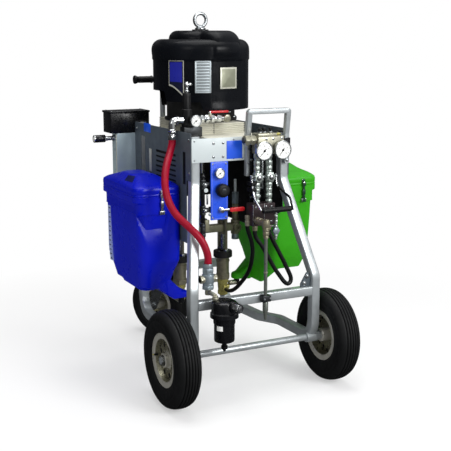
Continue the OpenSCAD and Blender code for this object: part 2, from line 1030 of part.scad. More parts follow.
module pump_cylinders() {
    color("gray")
        cart()
            both_sides()
                translate([pump_x, motor_y, 0])
                    difference() {
                        union() {
                            rod_z([0, 0, cylinder_bottom], cylinder_r, head_top - head_h - cylinder_bottom);
                            translate([0, 0, cylinder_bottom])
                                cylinder(r = cylinder_r + 5, h = 18, $fn = 6);
                        }
                        rod_z([0, 0, cylinder_bottom - 1], rod_r + 4, head_top - head_h - cylinder_bottom + 2);
                    }
}

// Brass intake under each pump, with an outlet at its front and a port to its hopper, and the
// nipple between the air tee and the filter
module brass_fittings() {
    color("goldenrod")
        cart() {
            both_sides()
                translate([pump_x, motor_y, 0]) {
                    difference() {
                        union() {
                            rod_z([0, 0, intake_bottom], intake_r, cylinder_bottom - intake_bottom);
                            rod_z([0, 0, cylinder_bottom - 14], intake_r + 4, 14);
                            rod_y([0, -intake_r - 10, 262], 12, 20);
                            rod_x([rod_r + 5, 0, hopper_outlet_z], 9, intake_r + 3 - rod_r);
                        }
                        rod_z([0, 0, 275], rod_r + 4, 50);
                    }
                }
            rod_z([tee_x, tee_y, tee_z - 20], 10, 20);
            rod_y([tee_x, filter_y + 14, tee_z - 10], 7, tee_y - filter_y - 14);
            rod_z([tee_x, filter_y + 14, filter_head_z + filter_head_h], 9, 14);
        }
}

// ---------- control panel ----------

module control_panel() {
    color("royalblue")
        cart() {
            box([panel_x0, panel_face_y, panel_low], [panel_x0 + panel_w, front_face_y, front_low]);
            box([panel_x0 + 8, front_face_y, panel_low + 40],
                [panel_x0 + panel_w - 8, front_face_y + 3, deck_z - tube]);
        }
}

module panel_piping() {
    x = -140;
    y = front_face_y + 10;
    color("dimgray")
        cart() {
            rod_z([x, y, 590], 8, 170);
            for (z = [valve_z, 722]) {
                rod_z([x, y, z - 14], 12, 28);
                rod_x([x, y, z], 7, panel_x0 - x + 12);
                rod_y([x, y - 24, z], 6, 24);
            }
            box([panel_x0, front_face_y, valve_z - 10], [panel_x0 + 8, y + 6, valve_z + 10]);
            rod_y([panel_mid, panel_face_y - 12, valve_z], 9, 12);
        }
}

module regulator_knob() {
    depth = 30;
    color("black")
        cart()
            translate([panel_mid, panel_face_y - seat_gap, knob_z])
                rotate([90, 0, 0])
                    difference() {
                        union() {
                            cylinder(r = knob_r - 8, h = depth);
                            translate([0, 0, 6])
                                cylinder(r = knob_r, h = depth - 6);
                        }
                        for (i = [0:11])
                            rotate([0, 0, 30 * i])
                                translate([knob_r + 2, 0, 5])
                                    cylinder(r = 4, h = depth, $fn = 24);
                    }
}

// Lever that points to the right when its valve is open
module panel_valve_lever() {
    y = panel_face_y - 12 - seat_gap;
    color("red")
        cart() {
            rod_y([panel_mid, y - 6, valve_z], 9, 6);
            box([panel_mid, y - 5, valve_z - 5], [panel_mid + 34, y - 1, valve_z + 5]);
            hull()
                for (x = [34, 78])
                    rod_y([panel_mid + x, y - 7, valve_z], 7.5, 7, $fn = hull_fn);
        }
}

// ---------- air line on top ----------

module air_regulator() {
    color("black")
        cart() {
            difference() {
                union() {
                    rod_z([reg_x, reg_y, base_z - 4], reg_r, 60);
                    rod_z([reg_x, reg_y, base_z + 56], reg_r - 4, 54);
                }
                rod_z([reg_x, reg_y, base_z + 70], 5 + run_gap, 50);
            }
            // Foot on the deck plate
            box([reg_x - 18, reg_y - 18, deck_z + deck_t], [reg_x + 50, reg_y + 18, base_z - 4]);
        }
}

module regulator_screw() {
    color("silver")
        cart() {
            rod_z([reg_x, reg_y, base_z + 74], 5, 74);
            rod_z([reg_x, reg_y, base_z + 112], 8, 8);
            rod_z([reg_x, reg_y, base_z + 128], 7, 16);
            rod_x([reg_x, reg_y, base_z + 139], 3, 13);
            translate([reg_x + 14, reg_y, base_z + 139])
                sphere(r = 5);
        }
}

// Elbow over the hose, pipe into the regulator, and the ball valve on the regulator's right
module air_valve() {
    color("silver")
        cart()
            difference() {
                union() {
                    rod_z([elbow_x, 190, 868], 14, 34);
                    rod_z([elbow_x, 190, 902], 18, 12);
                    rod_z([elbow_x, 190, 914], 13, air_z - 914 + 12);
                    rod_x([elbow_x, 190, air_z], 11, reg_x - elbow_x);
                    rod_x([reg_x, reg_y, air_out_z], 9, 160);
                    rod_x([reg_x + 34, reg_y, air_out_z], 13, 22);
                    rod_x([air_stem_x - 22, reg_y, air_out_z], 15, 44);
                    rod_z([air_stem_x, reg_y, air_out_z + 4], 7, 15);
                    rod_y([reg_x + 151, reg_y, air_out_z], 9, motor_y - base_r - reg_y);
                }
                rod_z([reg_x, reg_y, base_z - 4], reg_r, 60);
            }
}

// Lever that points along the pipe when its valve is open
module air_valve_lever() {
    z = air_out_z + 19 + seat_gap;
    color("red")
        cart() {
            rod_z([air_stem_x, reg_y, z], 8, 5);
            hull() {
                rod_z([air_stem_x, reg_y, z + 1], 6, 4, $fn = hull_fn);
                rod_z([air_stem_x + 68, reg_y, z + 1], 8, 4, $fn = hull_fn);
            }
        }
}

module gauge(at, r, turn) {
    translate(at)
        rotate([0, 0, turn])
            rotate([90, 0, 0])
                rotate_extrude()
                    polygon([[0, 0], [r * 0.7, 0], [r, 4], [r, 16], [r - 2, 18], [r - 3, 15], [0, 15]]);
}

module pressure_gauges() {
    color("white")
        cart() {
            for (x = [41, 112]) {
                gauge([x, man_y0 - 6, 836], 31.5, 0);
                rod_y([x, man_y0 - 6, 836], 8, 6);
            }
            gauge([panel_mid - 9, panel_face_y, small_gauge_z], 18, 0);
            gauge([reg_x + 24, reg_y - 28, 926], 18, 0);
            rod_y([reg_x + 24, reg_y - 28, 926], 6, 19);
        }
}

module red_hose() {
    color("crimson")
        cart()
            sweep(red_hose_route, round_section(red_hose_r, 12), [1, 0, 0]);
}

module air_tee() {
    color("silver")
        cart() {
            rod_z([tee_x, tee_y, tee_z], 18, 60);
            rod_z([tee_x, tee_y, tee_z + 60], 15, 26);
            rod_x([tee_x - 30, tee_y, tee_z + 34], 13, 60);
        }
}

module air_filter_head() {
    color("black")
        cart()
            difference() {
                union() {
                    rod_z([filter_x, filter_y, filter_head_z], filter_head_r, filter_head_h - 4);
                    rod_z([filter_x, filter_y, filter_head_z + filter_head_h - 4], filter_head_r - 8, 4);
                    box([filter_x - 20, filter_y, cross_z - half_tube],
                        [filter_x + 20, -cross_y - half_tube, cross_z + half_tube]);
                    translate([filter_x, filter_y, filter_head_z + inlet_up])
                        rotate([0, 0, inlet_turn])
                            translate([0, -filter_head_r - inlet_len, 0])
                                rotate([-90, 0, 0])
                                    cylinder(r = 17, h = inlet_len + 14, $fn = 6);
                }
                translate([filter_x, filter_y, filter_head_z + inlet_up])
                    rotate([0, 0, inlet_turn])
                        translate([0, -filter_head_r - inlet_len - 1, 0])
                            rotate([-90, 0, 0])
                                cylinder(r = inlet_r, h = inlet_len + 1);
            }
}

module air_filter_bowl() {
    color("black")
        cart()
            translate([filter_x, filter_y, 0])
                rotate_extrude()
                    polygon([
                        [0, filter_bottom - 34], [11, filter_bottom - 34], [11, filter_bottom - 6],
                        [17, filter_bottom], [filter_bowl_r - 4, filter_bottom], [filter_bowl_r, filter_bottom + 5],
                        [filter_bowl_r, filter_head_z], [0, filter_head_z]
                    ]);
}

// ---------- mixing manifold ----------

module manifold_plate() {
    color("black")
        cart() {
            box([gate_left_x + 2, man_y1, block_z0], [104, plate_y, deck_z]);
            box([104 - eps, man_y1, deck_z - 40], [post_x + gate_w / 2, plate_y, deck_z]);
        }
}

module mix_manifold() {
    color("silver")
        cart() {
            box([man_x0, man_y0, man_z0], [man_x1, man_y1, man_z1 - 10]);
            box([man_x0, man_y0, man_z1 - 10], [100, man_y1, man_z1]);
            rod_x([man_x0 - 46, man_mid_y, 870], 16, 46);
            for (x = [46, 62, 86])
                rod_z([x, man_mid_y, man_z1], 7, 18);
        }
}

// Two chains of valves between the manifold and the valve block, and the solvent valve
module fluid_valves() {
    color("silver")
        cart() {
            difference() {
                for (x = chain_x) {
                    rod_z([x, man_mid_y, block_z1], chain_r, man_z0 - block_z1);
                    rod_z([x, man_mid_y, lever_z - 20], chain_r + 8, 40);
                    translate([x, man_mid_y, lever_z + 40])
                        cylinder(r = chain_r + 4, h = 16, $fn = 6);
                    translate([x, man_mid_y, lever_z - 56])
                        cylinder(r = chain_r + 4, h = 16, $fn = 6);
                }
                rod_x([0, man_mid_y, lever_z], lever_shaft_r + run_gap, 120);
            }
            rod_z([85, man_mid_y, block_z0 - 21], 7, 21);
            rod_z([27, 40, 560], 9, block_z0 - 560);
            rod_x([58, man_mid_y, block_z0 - 10], 4, 44);
        }
}

module valve_block() {
    color("dimgray")
        cart() {
            box([8, man_y0 - 2, block_z0], [94, man_y1, block_z1]);
            // Port for the left hose, and the elbow that reaches forward to the mixer
            rod_z([4, 50, 577], 10, 38);
            rod_x([4, 50, 606], 8, 9);
            rod_y([mixer_x, mixer_y, 600], 11, man_y0 - 2 - mixer_y);
            rod_z([mixer_x, mixer_y, 582], 13, 30);
        }
}

module static_mixer() {
    tip = 62;
    color("silver")
        cart() {
            translate([mixer_x, mixer_y, 0])
                rotate_extrude()
                    polygon([
                        [0, mixer_bottom], [6, mixer_bottom], [10, mixer_bottom + 14], [10, mixer_bottom + tip],
                        [mixer_r, mixer_bottom + tip], [mixer_r, 430], [9, 430], [9, 452],
                        [mixer_r, 452], [mixer_r, 556], [12, 556], [12, 582], [0, 582]
                    ]);
            difference() {
                box([mixer_x - 16, mixer_y - 12, cross_z - 8], [mixer_x + 16, -cross_y - half_tube, cross_z + 14]);
                rod_z([mixer_x, mixer_y, cross_z - 20], mixer_r - eps, 60);
            }
        }
}

// Arm of the mixing lever, bent through the points given
module lever_arm(points) {
    sweep(rounded_path(points, [20, 20], bend_steps), square_section(8, 1.5), [1, 0, 0], true);
}

// Shaft through both ball valves, with a bent bar at each end that carries the grip
module mix_lever() {
    y = man_mid_y;
    color("silver")
        cart() {
            rod_x([arm_left_x, y, lever_z], lever_shaft_r, arm_right_x - arm_left_x + 5);
            lever_arm([
                [arm_left_x, y, lever_z + 8], [arm_left_x + 1, y - 8, 704],
                [arm_left_x + 3, 24, 674], [arm_left_x + 1, grip_y, grip_z]
            ]);
            lever_arm([
                [arm_right_x, y, lever_z + 8], [arm_right_x, y - 6, 712],
                [arm_right_x + 20, -20, 676], [arm_right_x + 26, grip_y - 1, 634]
            ]);
        }
}

module lever_grip() {
    left = arm_left_x + 5 + seat_gap;
    color("black")
        cart()
            rod_x([left, grip_y, grip_z], 9.5, arm_right_x + 19 - left);
}

module black_hoses() {
    color("black")
        cart() {
            sweep(loop_hose_route, round_section(black_hose_r, 10), [1, 0, 0]);
            sweep(u_hose_route, round_section(black_hose_r, 10), [0, 1, 0]);
        }
}

// ---------- hoppers ----------

// Rounded upright column over a hopper's plan, shrunk by in and grown outwards by over
// One level of the walls, shrunk by in, drawn in at the outer, plain and recessed sides,
// and tucked in at the corner between the recessed and the inner side
module hopper_level(in, outer, plain, recess, tuck, z, h) {
    y0 = hopper_y + plain + hopper_r;
    y1 = hopper_y + hopper_len - recess;
    hull() {
        for (y = [y0, y1 - tuck - hopper_r])
            translate([hopper_in + hopper_r, y, z])
                cylinder(r = hopper_r - in, h = h, $fn = hull_fn);
        translate([hopper_out - outer - hopper_r, y0, z])
            cylinder(r = hopper_r - in, h = h, $fn = hull_fn);
        translate([hopper_out - outer - hopper_corner, y1 - hopper_corner, z])
            cylinder(r = hopper_corner - in, h = h, $fn = hull_fn);
    }
}

// Walls below the rim, a floor that slopes inwards, and a nose over the outlet
module hopper_form(in, top) {
    floor_z = hopper_low + in;
    o = -rim_over;
    hopper_level(in, o, o, o, 0, lip_low + in, top - lip_low - in);
    hopper_level(in, 0, o, o, 0, rim_low + in, top - rim_low - in);
    hull() {
        hopper_level(in, 0, 0, o, 0, rim_low - 1, 2 + 2 * in);
        hopper_level(in, 6, 9, o, 5, hopper_knee, 1);
    }
    hull() {
        hopper_level(in, 6, 9, o, 5, hopper_knee, 1);
        hopper_level(in, 9, 22, -5, 44, floor_z + 56, 1);
        hopper_level(in, 14, 50, 8, 64, floor_z + 13, 1);
        for (y = [hopper_y + 126, hopper_y + hopper_len - 54])
            translate([hopper_out - 51, y, floor_z])
                cylinder(r = 34 - in, h = 30, $fn = hull_fn);
        translate([hopper_in + 20, hopper_mid_y - 40, hopper_bottom - 6 + in])
            cylinder(r = 20 - in, h = 30, $fn = hull_fn);
        translate([hopper_in + 20, hopper_mid_y + 72, hopper_bottom + 18 + in])
            cylinder(r = 20 - in, h = 30, $fn = hull_fn);
    }
    hull() {
        for (y = [motor_y - 24, motor_y + 4])
            translate([hopper_in + 24, y, hopper_bottom + 22 + in])
                cylinder(r = 22 - in, h = 46 - 2 * in, $fn = hull_fn);
        translate([nose_x, motor_y, hopper_bottom + in])
            cylinder(r = nose_r - in, h = 44 - 2 * in, $fn = hull_fn);
    }
}

// Slanted recess in one face, deepest under the rim, grown by in
module hopper_recess(in) {
    face = hopper_y + hopper_len + rim_over;
    translate([hopper_in + 68 - in, 0, 0])
        rotate([90, 0, 90])
            linear_extrude(height = hopper_out - hopper_in - 76 + 2 * in)
                polygon([
                    [face + 20, recess_low - in], [face - 1 - in, recess_low - in],
                    [face - recess_depth - in, recess_top + in], [face + 20, recess_top + in]
                ]);
}

// Both hoppers are one moulding, so one of them is turned round
module hopper_turned(turned) {
    if (turned)
        translate([0, 2 * hopper_mid_y, 0])
            mirror([0, 1, 0])
                children();
    else
        children();
}

module hopper(ear_x, turned) {
    end_y = turned ? 2 * hopper_mid_y - motor_y : motor_y;
    difference() {
        union() {
            hopper_turned(turned)
                difference() {
                    hopper_form(0, hopper_top);
                    hopper_recess(0);
                }
            // Hinge knuckles at the back of the rim
            for (x = [hopper_in + 20, hopper_out - 50]) {
                rod_x([x, hinge_y, hopper_top], hinge_r, 30);
                box([x, hinge_y - 8, hopper_top - hinge_r - 8], [x + 30, hinge_y, hopper_top]);
            }
            // Ears of the latch
            for (x = [-9, 6])
                box([ear_x + x, rim_front - 8, latch_z - 7], [ear_x + x + 3, rim_front + 2, latch_z + 7]);
        }
        hopper_turned(turned)
            difference() {
                hopper_form(hopper_wall, hopper_top + 1);
                hopper_recess(hopper_wall);
            }
    }
    rod_x([hopper_in + 20, hinge_y, hopper_top], hinge_pin_r, hopper_out - hopper_in - 40);
    // Outlet pipe from the nose to the pump's intake
    rod_x([pump_x + intake_r + 8, motor_y, hopper_outlet_z], 10, nose_x - pump_x - intake_r - 8 + 10);
    rod_z([nose_x, end_y, hopper_outlet_z - 11], 11, hopper_bottom + 3 - hopper_outlet_z + 11);
    if (turned)
        rod_y([nose_x, end_y, hopper_outlet_z], 10, motor_y - end_y + 10);
}

module lid_form(in) {
    hull() {
        hopper_level(in, -rim_over, -rim_over, -rim_over, 0,
            hopper_top + seat_gap - (in > 0 ? 1 : 0), lid_skirt - seat_gap - in);
        for (x = [hopper_out - 71, hopper_out - 51])
            for (y = [hopper_mid_y - 26, hopper_mid_y + 26])
                translate([x, y, hopper_top + lid_skirt])
                    cylinder(r = 24 - in, h = lid_rise - in, $fn = hull_fn);
    }
}

module lid(catch_x, turned) {
    difference() {
        union() {
            hopper_turned(turned)
                lid_form(0);
            rod_x([hopper_in + 50 + seat_gap, hinge_y, hopper_top], hinge_r, hopper_out - hopper_in - 100 - 2 * seat_gap);
            box([hopper_in + 50 + seat_gap, hinge_y - 14, hopper_top + seat_gap],
                [hopper_out - 50 - seat_gap, hinge_y, hopper_top + hinge_r]);
            // Catch that the latch holds
            box([catch_x - 6, rim_front - 3.5, hopper_top + 8], [catch_x + 6, rim_front + 2, hopper_top + 20]);
        }
        hopper_turned(turned)
            lid_form(hopper_wall);
        rod_x([hopper_in, hinge_y, hopper_top], hinge_pin_r + run_gap, hopper_out - hopper_in);
    }
}

// Toggle latch on the rim's front
module latch(x) {
    y = rim_front - 5;
    rod_x([x - 6 + seat_gap, y, latch_z], 3, 12 - 2 * seat_gap);
    box([x - 5, y - 2.5, latch_z], [x + 5, y + 1, latch_z + 80]);
    box([x - 7, y - 5, latch_z + 56], [x + 7, y - 2, latch_z + 72]);
}

module hopper_left() {
    color("mediumblue")
        cart()
            mirror([1, 0, 0])
                hopper(latch_left_x, true);
}

module hopper_right() {
    color("limegreen")
        cart()
            hopper(latch_right_x, false);
}

module lid_left() {
    color("mediumblue")
        cart()
            mirror([1, 0, 0])
                lid(latch_left_x, true);
}

module lid_right() {
    color("limegreen")
        cart()
            lid(latch_right_x, false);
}

module latch_left() {
    color("silver")
        cart()
            mirror([1, 0, 0])
                latch(latch_left_x);
}

module latch_right() {
    color("black")
        cart()
            latch(latch_right_x);
}

// ---------- heater ----------

module fluid_heater() {
    color("slategray")
        cart() {
            box([-262, rear_face_y, 560], [-165, 640, 855]);
            rod_x([-300, 612, 836], 9, 38);
            rod_x([-344, 612, 836], 14, 44);
            rod_y([-300, 590, 836], 7, 22);
        }
}

module heater_box() {
    color("black")
        cart() {
            box([-285, rear_face_y, 855], [-130, 670, 930]);
            box([-288, rear_face_y, 930], [-127, 673, 937]);
        }
}

side_frame_left();
side_frame_right();
front_cross_tubes();
rear_frame();
axle_bushes();
tube_plugs();
wheel_axle();
tyre_left();
rim_left();
tyre_right();
rim_right();
caster_plate();
caster_fork();
caster_tyre();
caster_rim();
rear_handle();
handle_grips();
gate_handle();
side_panels();
front_panel();
tie_plate();
motor_base();
motor_cover();
exhaust_grille();
lifting_eye();
eye_washer();
tie_rods();
drive_yoke();
pump_heads();
pump_cylinders();
brass_fittings();
control_panel();
panel_piping();
regulator_knob();
panel_valve_lever();
air_regulator();
regulator_screw();
air_valve();
air_valve_lever();
pressure_gauges();
red_hose();
air_tee();
air_filter_head();
air_filter_bowl();
manifold_plate();
mix_manifold();
fluid_valves();
valve_block();
mix_lever();
lever_grip();
static_mixer();
black_hoses();
hopper_left();
hopper_right();
lid_left();
lid_right();
latch_left();
latch_right();
fluid_heater();
heater_box();
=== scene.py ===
"""Looks and light of a two-component paint sprayer on a cart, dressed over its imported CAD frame."""

import json
from math import cos, pi, radians, sin, sqrt, tan, tau

import bmesh
import bpy
from mathutils import Matrix, Vector


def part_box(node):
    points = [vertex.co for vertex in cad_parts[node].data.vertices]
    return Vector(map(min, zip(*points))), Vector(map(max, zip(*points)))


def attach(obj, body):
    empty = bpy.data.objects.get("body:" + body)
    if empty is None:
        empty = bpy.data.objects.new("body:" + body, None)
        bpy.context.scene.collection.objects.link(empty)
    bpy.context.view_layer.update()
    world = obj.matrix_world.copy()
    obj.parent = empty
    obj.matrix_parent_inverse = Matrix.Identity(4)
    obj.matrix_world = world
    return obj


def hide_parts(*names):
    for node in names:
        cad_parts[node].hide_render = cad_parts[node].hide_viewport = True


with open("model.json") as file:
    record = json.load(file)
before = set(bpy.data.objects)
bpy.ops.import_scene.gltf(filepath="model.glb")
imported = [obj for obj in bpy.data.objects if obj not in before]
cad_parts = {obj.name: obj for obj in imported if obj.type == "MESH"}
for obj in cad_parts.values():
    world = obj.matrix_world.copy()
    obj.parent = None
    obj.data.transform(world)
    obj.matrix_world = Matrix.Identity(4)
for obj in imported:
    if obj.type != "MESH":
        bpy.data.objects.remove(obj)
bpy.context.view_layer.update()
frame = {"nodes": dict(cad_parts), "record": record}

# ---------- places ----------
# Everything is drawn in millimetres on the cart: X right, Y back from the front axle, Z up.

MM = 0.001
tyre_low, tyre_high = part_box("tyre_left")
AXLE_Y = (tyre_low[1] + tyre_high[1]) / 2
CART = Matrix.Translation((0, AXLE_Y, 0)) @ Matrix.Scale(MM, 4)
record = frame["record"]
BODY_OF = {node: body for body, nodes in record["behaviour"]["bodies"].items() for node in nodes}
SLOT_OF = {part["node"]: part["material_slot"] for part in record["subparts"]}


def place(x, y, z):
    return Matrix.Translation((x, y, z))


def facing(direction, x, y, z):
    """Puts a shape drawn along +Z at a point, pointing in a direction."""
    return place(x, y, z) @ Vector(direction).to_track_quat("Z", "Y").to_matrix().to_4x4()


def to_front(x, y, z):
    return facing((0, -1, 0), x, y, z)


def to_back(x, y, z):
    return facing((0, 1, 0), x, y, z)


def to_right(x, y, z):
    return facing((1, 0, 0), x, y, z)


def to_left(x, y, z):
    return facing((-1, 0, 0), x, y, z)


def turned(angle, axis="Z"):
    return Matrix.Rotation(radians(angle), 4, axis)


MIRROR = Matrix.Scale(-1, 4, (1, 0, 0))
SIDES = (Matrix.Identity(4), MIRROR)

# ---------- shapes ----------


def spoke(i, count, radius):
    """The i-th of some points spread evenly on a circle."""
    return radius * cos(tau * i / count), radius * sin(tau * i / count)


def bevel_all(bm, width, steps=2, angle=25):
    """Rounds the edges that are sharper than an angle."""
    if width > 0:
        edges = [e for e in bm.edges if e.is_manifold and e.calc_face_angle(0) > radians(angle)]
        bmesh.ops.bevel(
            bm, geom=edges, offset=width, segments=steps, profile=0.5, affect="EDGES", clamp_overlap=True,
        )
    return bm


def block(low, high, edge=1.0, steps=2):
    """A box between two corners with rounded edges."""
    bm = bmesh.new()
    bmesh.ops.create_cube(bm, size=1)
    low, high = Vector(low), Vector(high)
    for v in bm.verts:
        v.co = low + Vector(((v.co[i] + 0.5) * (high[i] - low[i]) for i in range(3)))
    return bevel_all(bm, edge, steps)


def lathe(profile, steps=48):
    """Turns an outline of (radius, height) points about Z."""
    bm = bmesh.new()
    rings = []
    for radius, height in profile:
        count = steps if radius > 1e-6 else 1
        rings.append([bm.verts.new((*spoke(i, steps, radius), height)) for i in range(count)])
    for one, two in zip(rings, rings[1:]):
        for i in range(steps):
            j = (i + 1) % steps
            corners = [one[i % len(one)], one[j % len(one)], two[j % len(two)], two[i % len(two)]]
            corners = list(dict.fromkeys(corners))
            if len(corners) > 2:
                bm.faces.new(corners)
    bmesh.ops.recalc_face_normals(bm, faces=bm.faces)
    return bm


def disc(radius, height, edge=1.0, steps=40):
    """A round bar along Z with softened rims."""
    e = min(edge, height / 2, radius / 2)
    c = 0.3 * e
    return lathe([(0, 0), (radius - e, 0), (radius - c, c), (radius, e), (radius, height - e),
                  (radius - c, height - c), (radius - e, height), (0, height)], steps)


def ring(inner, outer, height, edge=0.8, steps=48):
    low, high = edge, height - edge
    return lathe([(inner, low), (inner + edge, 0), (outer - edge, 0), (outer, low), (outer, high),
                  (outer - edge, height), (inner + edge, height), (inner, high), (inner, low)], steps)


def prism(outline, height, edge=0.8, steps=2):
    """A flat outline of (x, y) points raised along Z."""
    bm = bmesh.new()
    base = bm.faces.new([bm.verts.new((x, y, 0)) for x, y in outline])
    top = bmesh.ops.extrude_face_region(bm, geom=[base])
    moved = [g for g in top["geom"] if isinstance(g, bmesh.types.BMVert)]
    bmesh.ops.translate(bm, verts=moved, vec=(0, 0, height))
    bmesh.ops.recalc_face_normals(bm, faces=bm.faces)
    return bevel_all(bm, edge, steps)


def hexagon(radius, height, edge=0.9):
    """A nut or a hexagon body, its corners turned off at both ends."""
    corner = radius - radius * cos(pi / 6)
    return bevel_all(prism(round_section(radius, 6), height, 0), min(edge, corner * 0.7))


def arc_points(centre, radius, start, end, steps):
    turns = [radians(start + (end - start) * i / steps) for i in range(steps + 1)]
    return [(centre[0] + radius * cos(a), centre[1] + radius * sin(a)) for a in turns]


def round_rect(x0, x1, y0, y1, radius, steps=6):
    """Outline of a rectangle with round corners."""
    r = min(radius, (x1 - x0) / 2 - 0.01, (y1 - y0) / 2 - 0.01)
    corners = ((x1 - r, y0 + r), (x1 - r, y1 - r), (x0 + r, y1 - r), (x0 + r, y0 + r))
    arcs = [arc_points(corner, r, 90 * i - 90, 90 * i, steps) for i, corner in enumerate(corners)]
    return [point for arc in arcs for point in arc]


def loft(rings, cap_start=True):
    """A skin over closed rings of equally many points."""
    bm = bmesh.new()
    rows = [[bm.verts.new(p) for p in one] for one in rings]
    count = len(rows[0])
    for one, two in zip(rows, rows[1:]):
        for i in range(count):
            j = (i + 1) % count
            bm.faces.new([one[i], one[j], two[j], two[i]])
    if cap_start:
        bm.faces.new(rows[0][::-1])
    bm.faces.new(rows[-1])
    bmesh.ops.recalc_face_normals(bm, faces=bm.faces)
    return bm


def skin(rows):
    """An open skin over rows of equally many points."""
    bm = bmesh.new()
    grid = [[bm.verts.new(p) for p in row] for row in rows]
    for a, b in zip(grid, grid[1:]):
        for i in range(len(a) - 1):
            bm.faces.new([a[i], a[i + 1], b[i + 1], b[i]])
    return bm


def heading(path, i):
    return (Vector(path[min(i + 1, len(path) - 1)]) - Vector(path[max(i - 1, 0)])).normalized()


def sweep(path, section, side, held=False):
    """Carries a closed section along a path, with its side direction held or free of twist."""
    rows, s = [], Vector(side)
    for i, p in enumerate(path):
        t = heading(path, i)
        s = Vector(side) if held else s
        s = (s - s.dot(t) * t).normalized()
        n = t.cross(s)
        rows.append([Vector(p) + a * s + b * n for a, b in section])
    return loft(rows)


def round_section(radius, steps=20):
    return [spoke(i, steps, radius) for i in range(steps)]


def square_section(width, radius, steps=3, height=None):
    h = width if height is None else height
    return round_rect(-width / 2, width / 2, -h / 2, h / 2, radius, steps)


def bent(points, radii, steps=8):
    """A path of straight runs with rounded corners."""
    pts = [Vector(p) for p in points]
    out = [pts[0]]
    for before, corner, after, r in zip(pts, pts[1:], pts[2:], radii):
        u, w = (before - corner).normalized(), (after - corner).normalized()
        half = u.angle(w) / 2
        centre = corner + (u + w).normalized() * r / sin(half)
        p, q = corner + u * r / tan(half), corner + w * r / tan(half)
        e1 = (p - centre).normalized()
        e2 = ((q - centre) - (q - centre).dot(e1) * e1).normalized()
        turn = pi - 2 * half
        out += [
            centre + r * (cos(turn * i / steps) * e1 + sin(turn * i / steps) * e2)
            for i in range(steps + 1)
        ]
    return out + [pts[-1]]


def smooth_path(points, steps=3):
    """A Catmull-Rom curve through a route's points."""
    pts = [Vector(p) for p in points]
    pts = [2 * pts[0] - pts[1]] + pts + [2 * pts[-1] - pts[-2]]
    out = []
    for a, b, c, d in zip(pts, pts[1:], pts[2:], pts[3:]):
        for i in range(steps):
            t = i / steps
            square, cube = 2 * a - 5 * b + 4 * c - d, 3 * b - a - 3 * c + d
            out.append(0.5 * (2 * b + (c - a) * t + square * t * t + cube * t**3))
    return out + [pts[-2]]


def stand(name, data):
    """An object for some data, in the scene."""
    made = bpy.data.objects.new(name, data)
    bpy.context.scene.collection.objects.link(made)
    return made


def figures(text, size):
    """Flat generic figures, such as the numbers on a dial."""
    curve = bpy.data.curves.new("figures", "FONT")
    curve.body, curve.size, curve.align_x, curve.align_y = text, size, "CENTER", "CENTER"
    curve.extrude = 0.05
    carrier = stand("figures", curve)
    bpy.context.view_layer.update()
    mesh = bpy.data.meshes.new_from_object(carrier.evaluated_get(bpy.context.evaluated_depsgraph_get()))
    bm = bmesh.new()
    bm.from_mesh(mesh)
    bpy.data.objects.remove(carrier)
    bpy.data.curves.remove(curve)
    bpy.data.meshes.remove(mesh)
    return bm


class Form:
    """Gathers shapes into one mesh piece. It stands for a CAD node, or is trim on the cart."""

    def __init__(self, name, node=None, slot=None):
        self.name, self.node = name, node
        self.slot = slot or SLOT_OF.get(node)
        self.bm, self.materials = bmesh.new(), []

    def add(self, shape, material, *matrices):
        """Adds a shape in a material, once for each matrix given."""
        if material not in self.materials:
            self.materials.append(material)
        index = self.materials.index(material)
        part = bpy.data.meshes.new("part")
        for f in shape.faces:
            f.material_index = index
        for m in matrices or (Matrix.Identity(4),):
            shape.to_mesh(part)
            part.transform(m)
            if m.determinant() < 0:
                part.flip_normals()
            self.bm.from_mesh(part)
        bpy.data.meshes.remove(part)
        shape.free()
        return self

    def done(self, crease=32):
        """Makes the object, smooth except over edges sharper than the crease angle."""
        for f in self.bm.faces:
            f.smooth = True
        for e in self.bm.edges:
            e.smooth = not e.is_manifold or e.calc_face_angle(0) < radians(crease)
        mesh = bpy.data.meshes.new(self.name)
        self.bm.to_mesh(mesh)
        self.bm.free()
        mesh.transform(CART)
        for m in self.materials:
            mesh.materials.append(m)
        piece = stand(self.name, mesh)
        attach(piece, BODY_OF.get(self.node, "cart"))
        if self.node:
            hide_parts(self.node)


# ---------- camera ----------

LENS, SENSOR = 75.5, 36
CAMERA_SPOT = (-1487.9, -2736.1, 1215.1)
CAMERA_PITCH, CAMERA_TURN = 0.19895, -0.46786

camera_data = bpy.data.cameras.new("camera")
camera_data.lens, camera_data.sensor_width = LENS, SENSOR
camera = stand("camera", camera_data)
camera.location = CART @ Vector(CAMERA_SPOT)
camera.rotation_euler = (pi / 2 - CAMERA_PITCH, 0, CAMERA_TURN)
bpy.context.scene.camera = camera

# ---------- materials ----------

CLOUD_LOW, CLOUD_HIGH = 0.3, 0.7
GRAIN_DEPTH = 0.0004
COAT_ROUGHNESS = 0.12


def feed(tree, made, inputs):
    """Gives a shader node numbers or other nodes' outputs for its inputs."""
    for key, value in inputs.items():
        if isinstance(value, bpy.types.NodeSocket):
            tree.links.new(value, made.inputs[key])
        else:
            made.inputs[key].default_value = value


def add_node(tree, kind, inputs, **settings):
    """Adds a shader node and returns its outputs."""
    made = tree.nodes.new("ShaderNode" + kind)
    for key, value in settings.items():
        setattr(made, key, value)
    feed(tree, made, inputs)
    return made.outputs


def linear(c):
    """Linear level of an sRGB one given from 0 to 255."""
    return c / 255 / 12.92 if c <= 10 else ((c / 255 + 0.055) / 1.055) ** 2.4


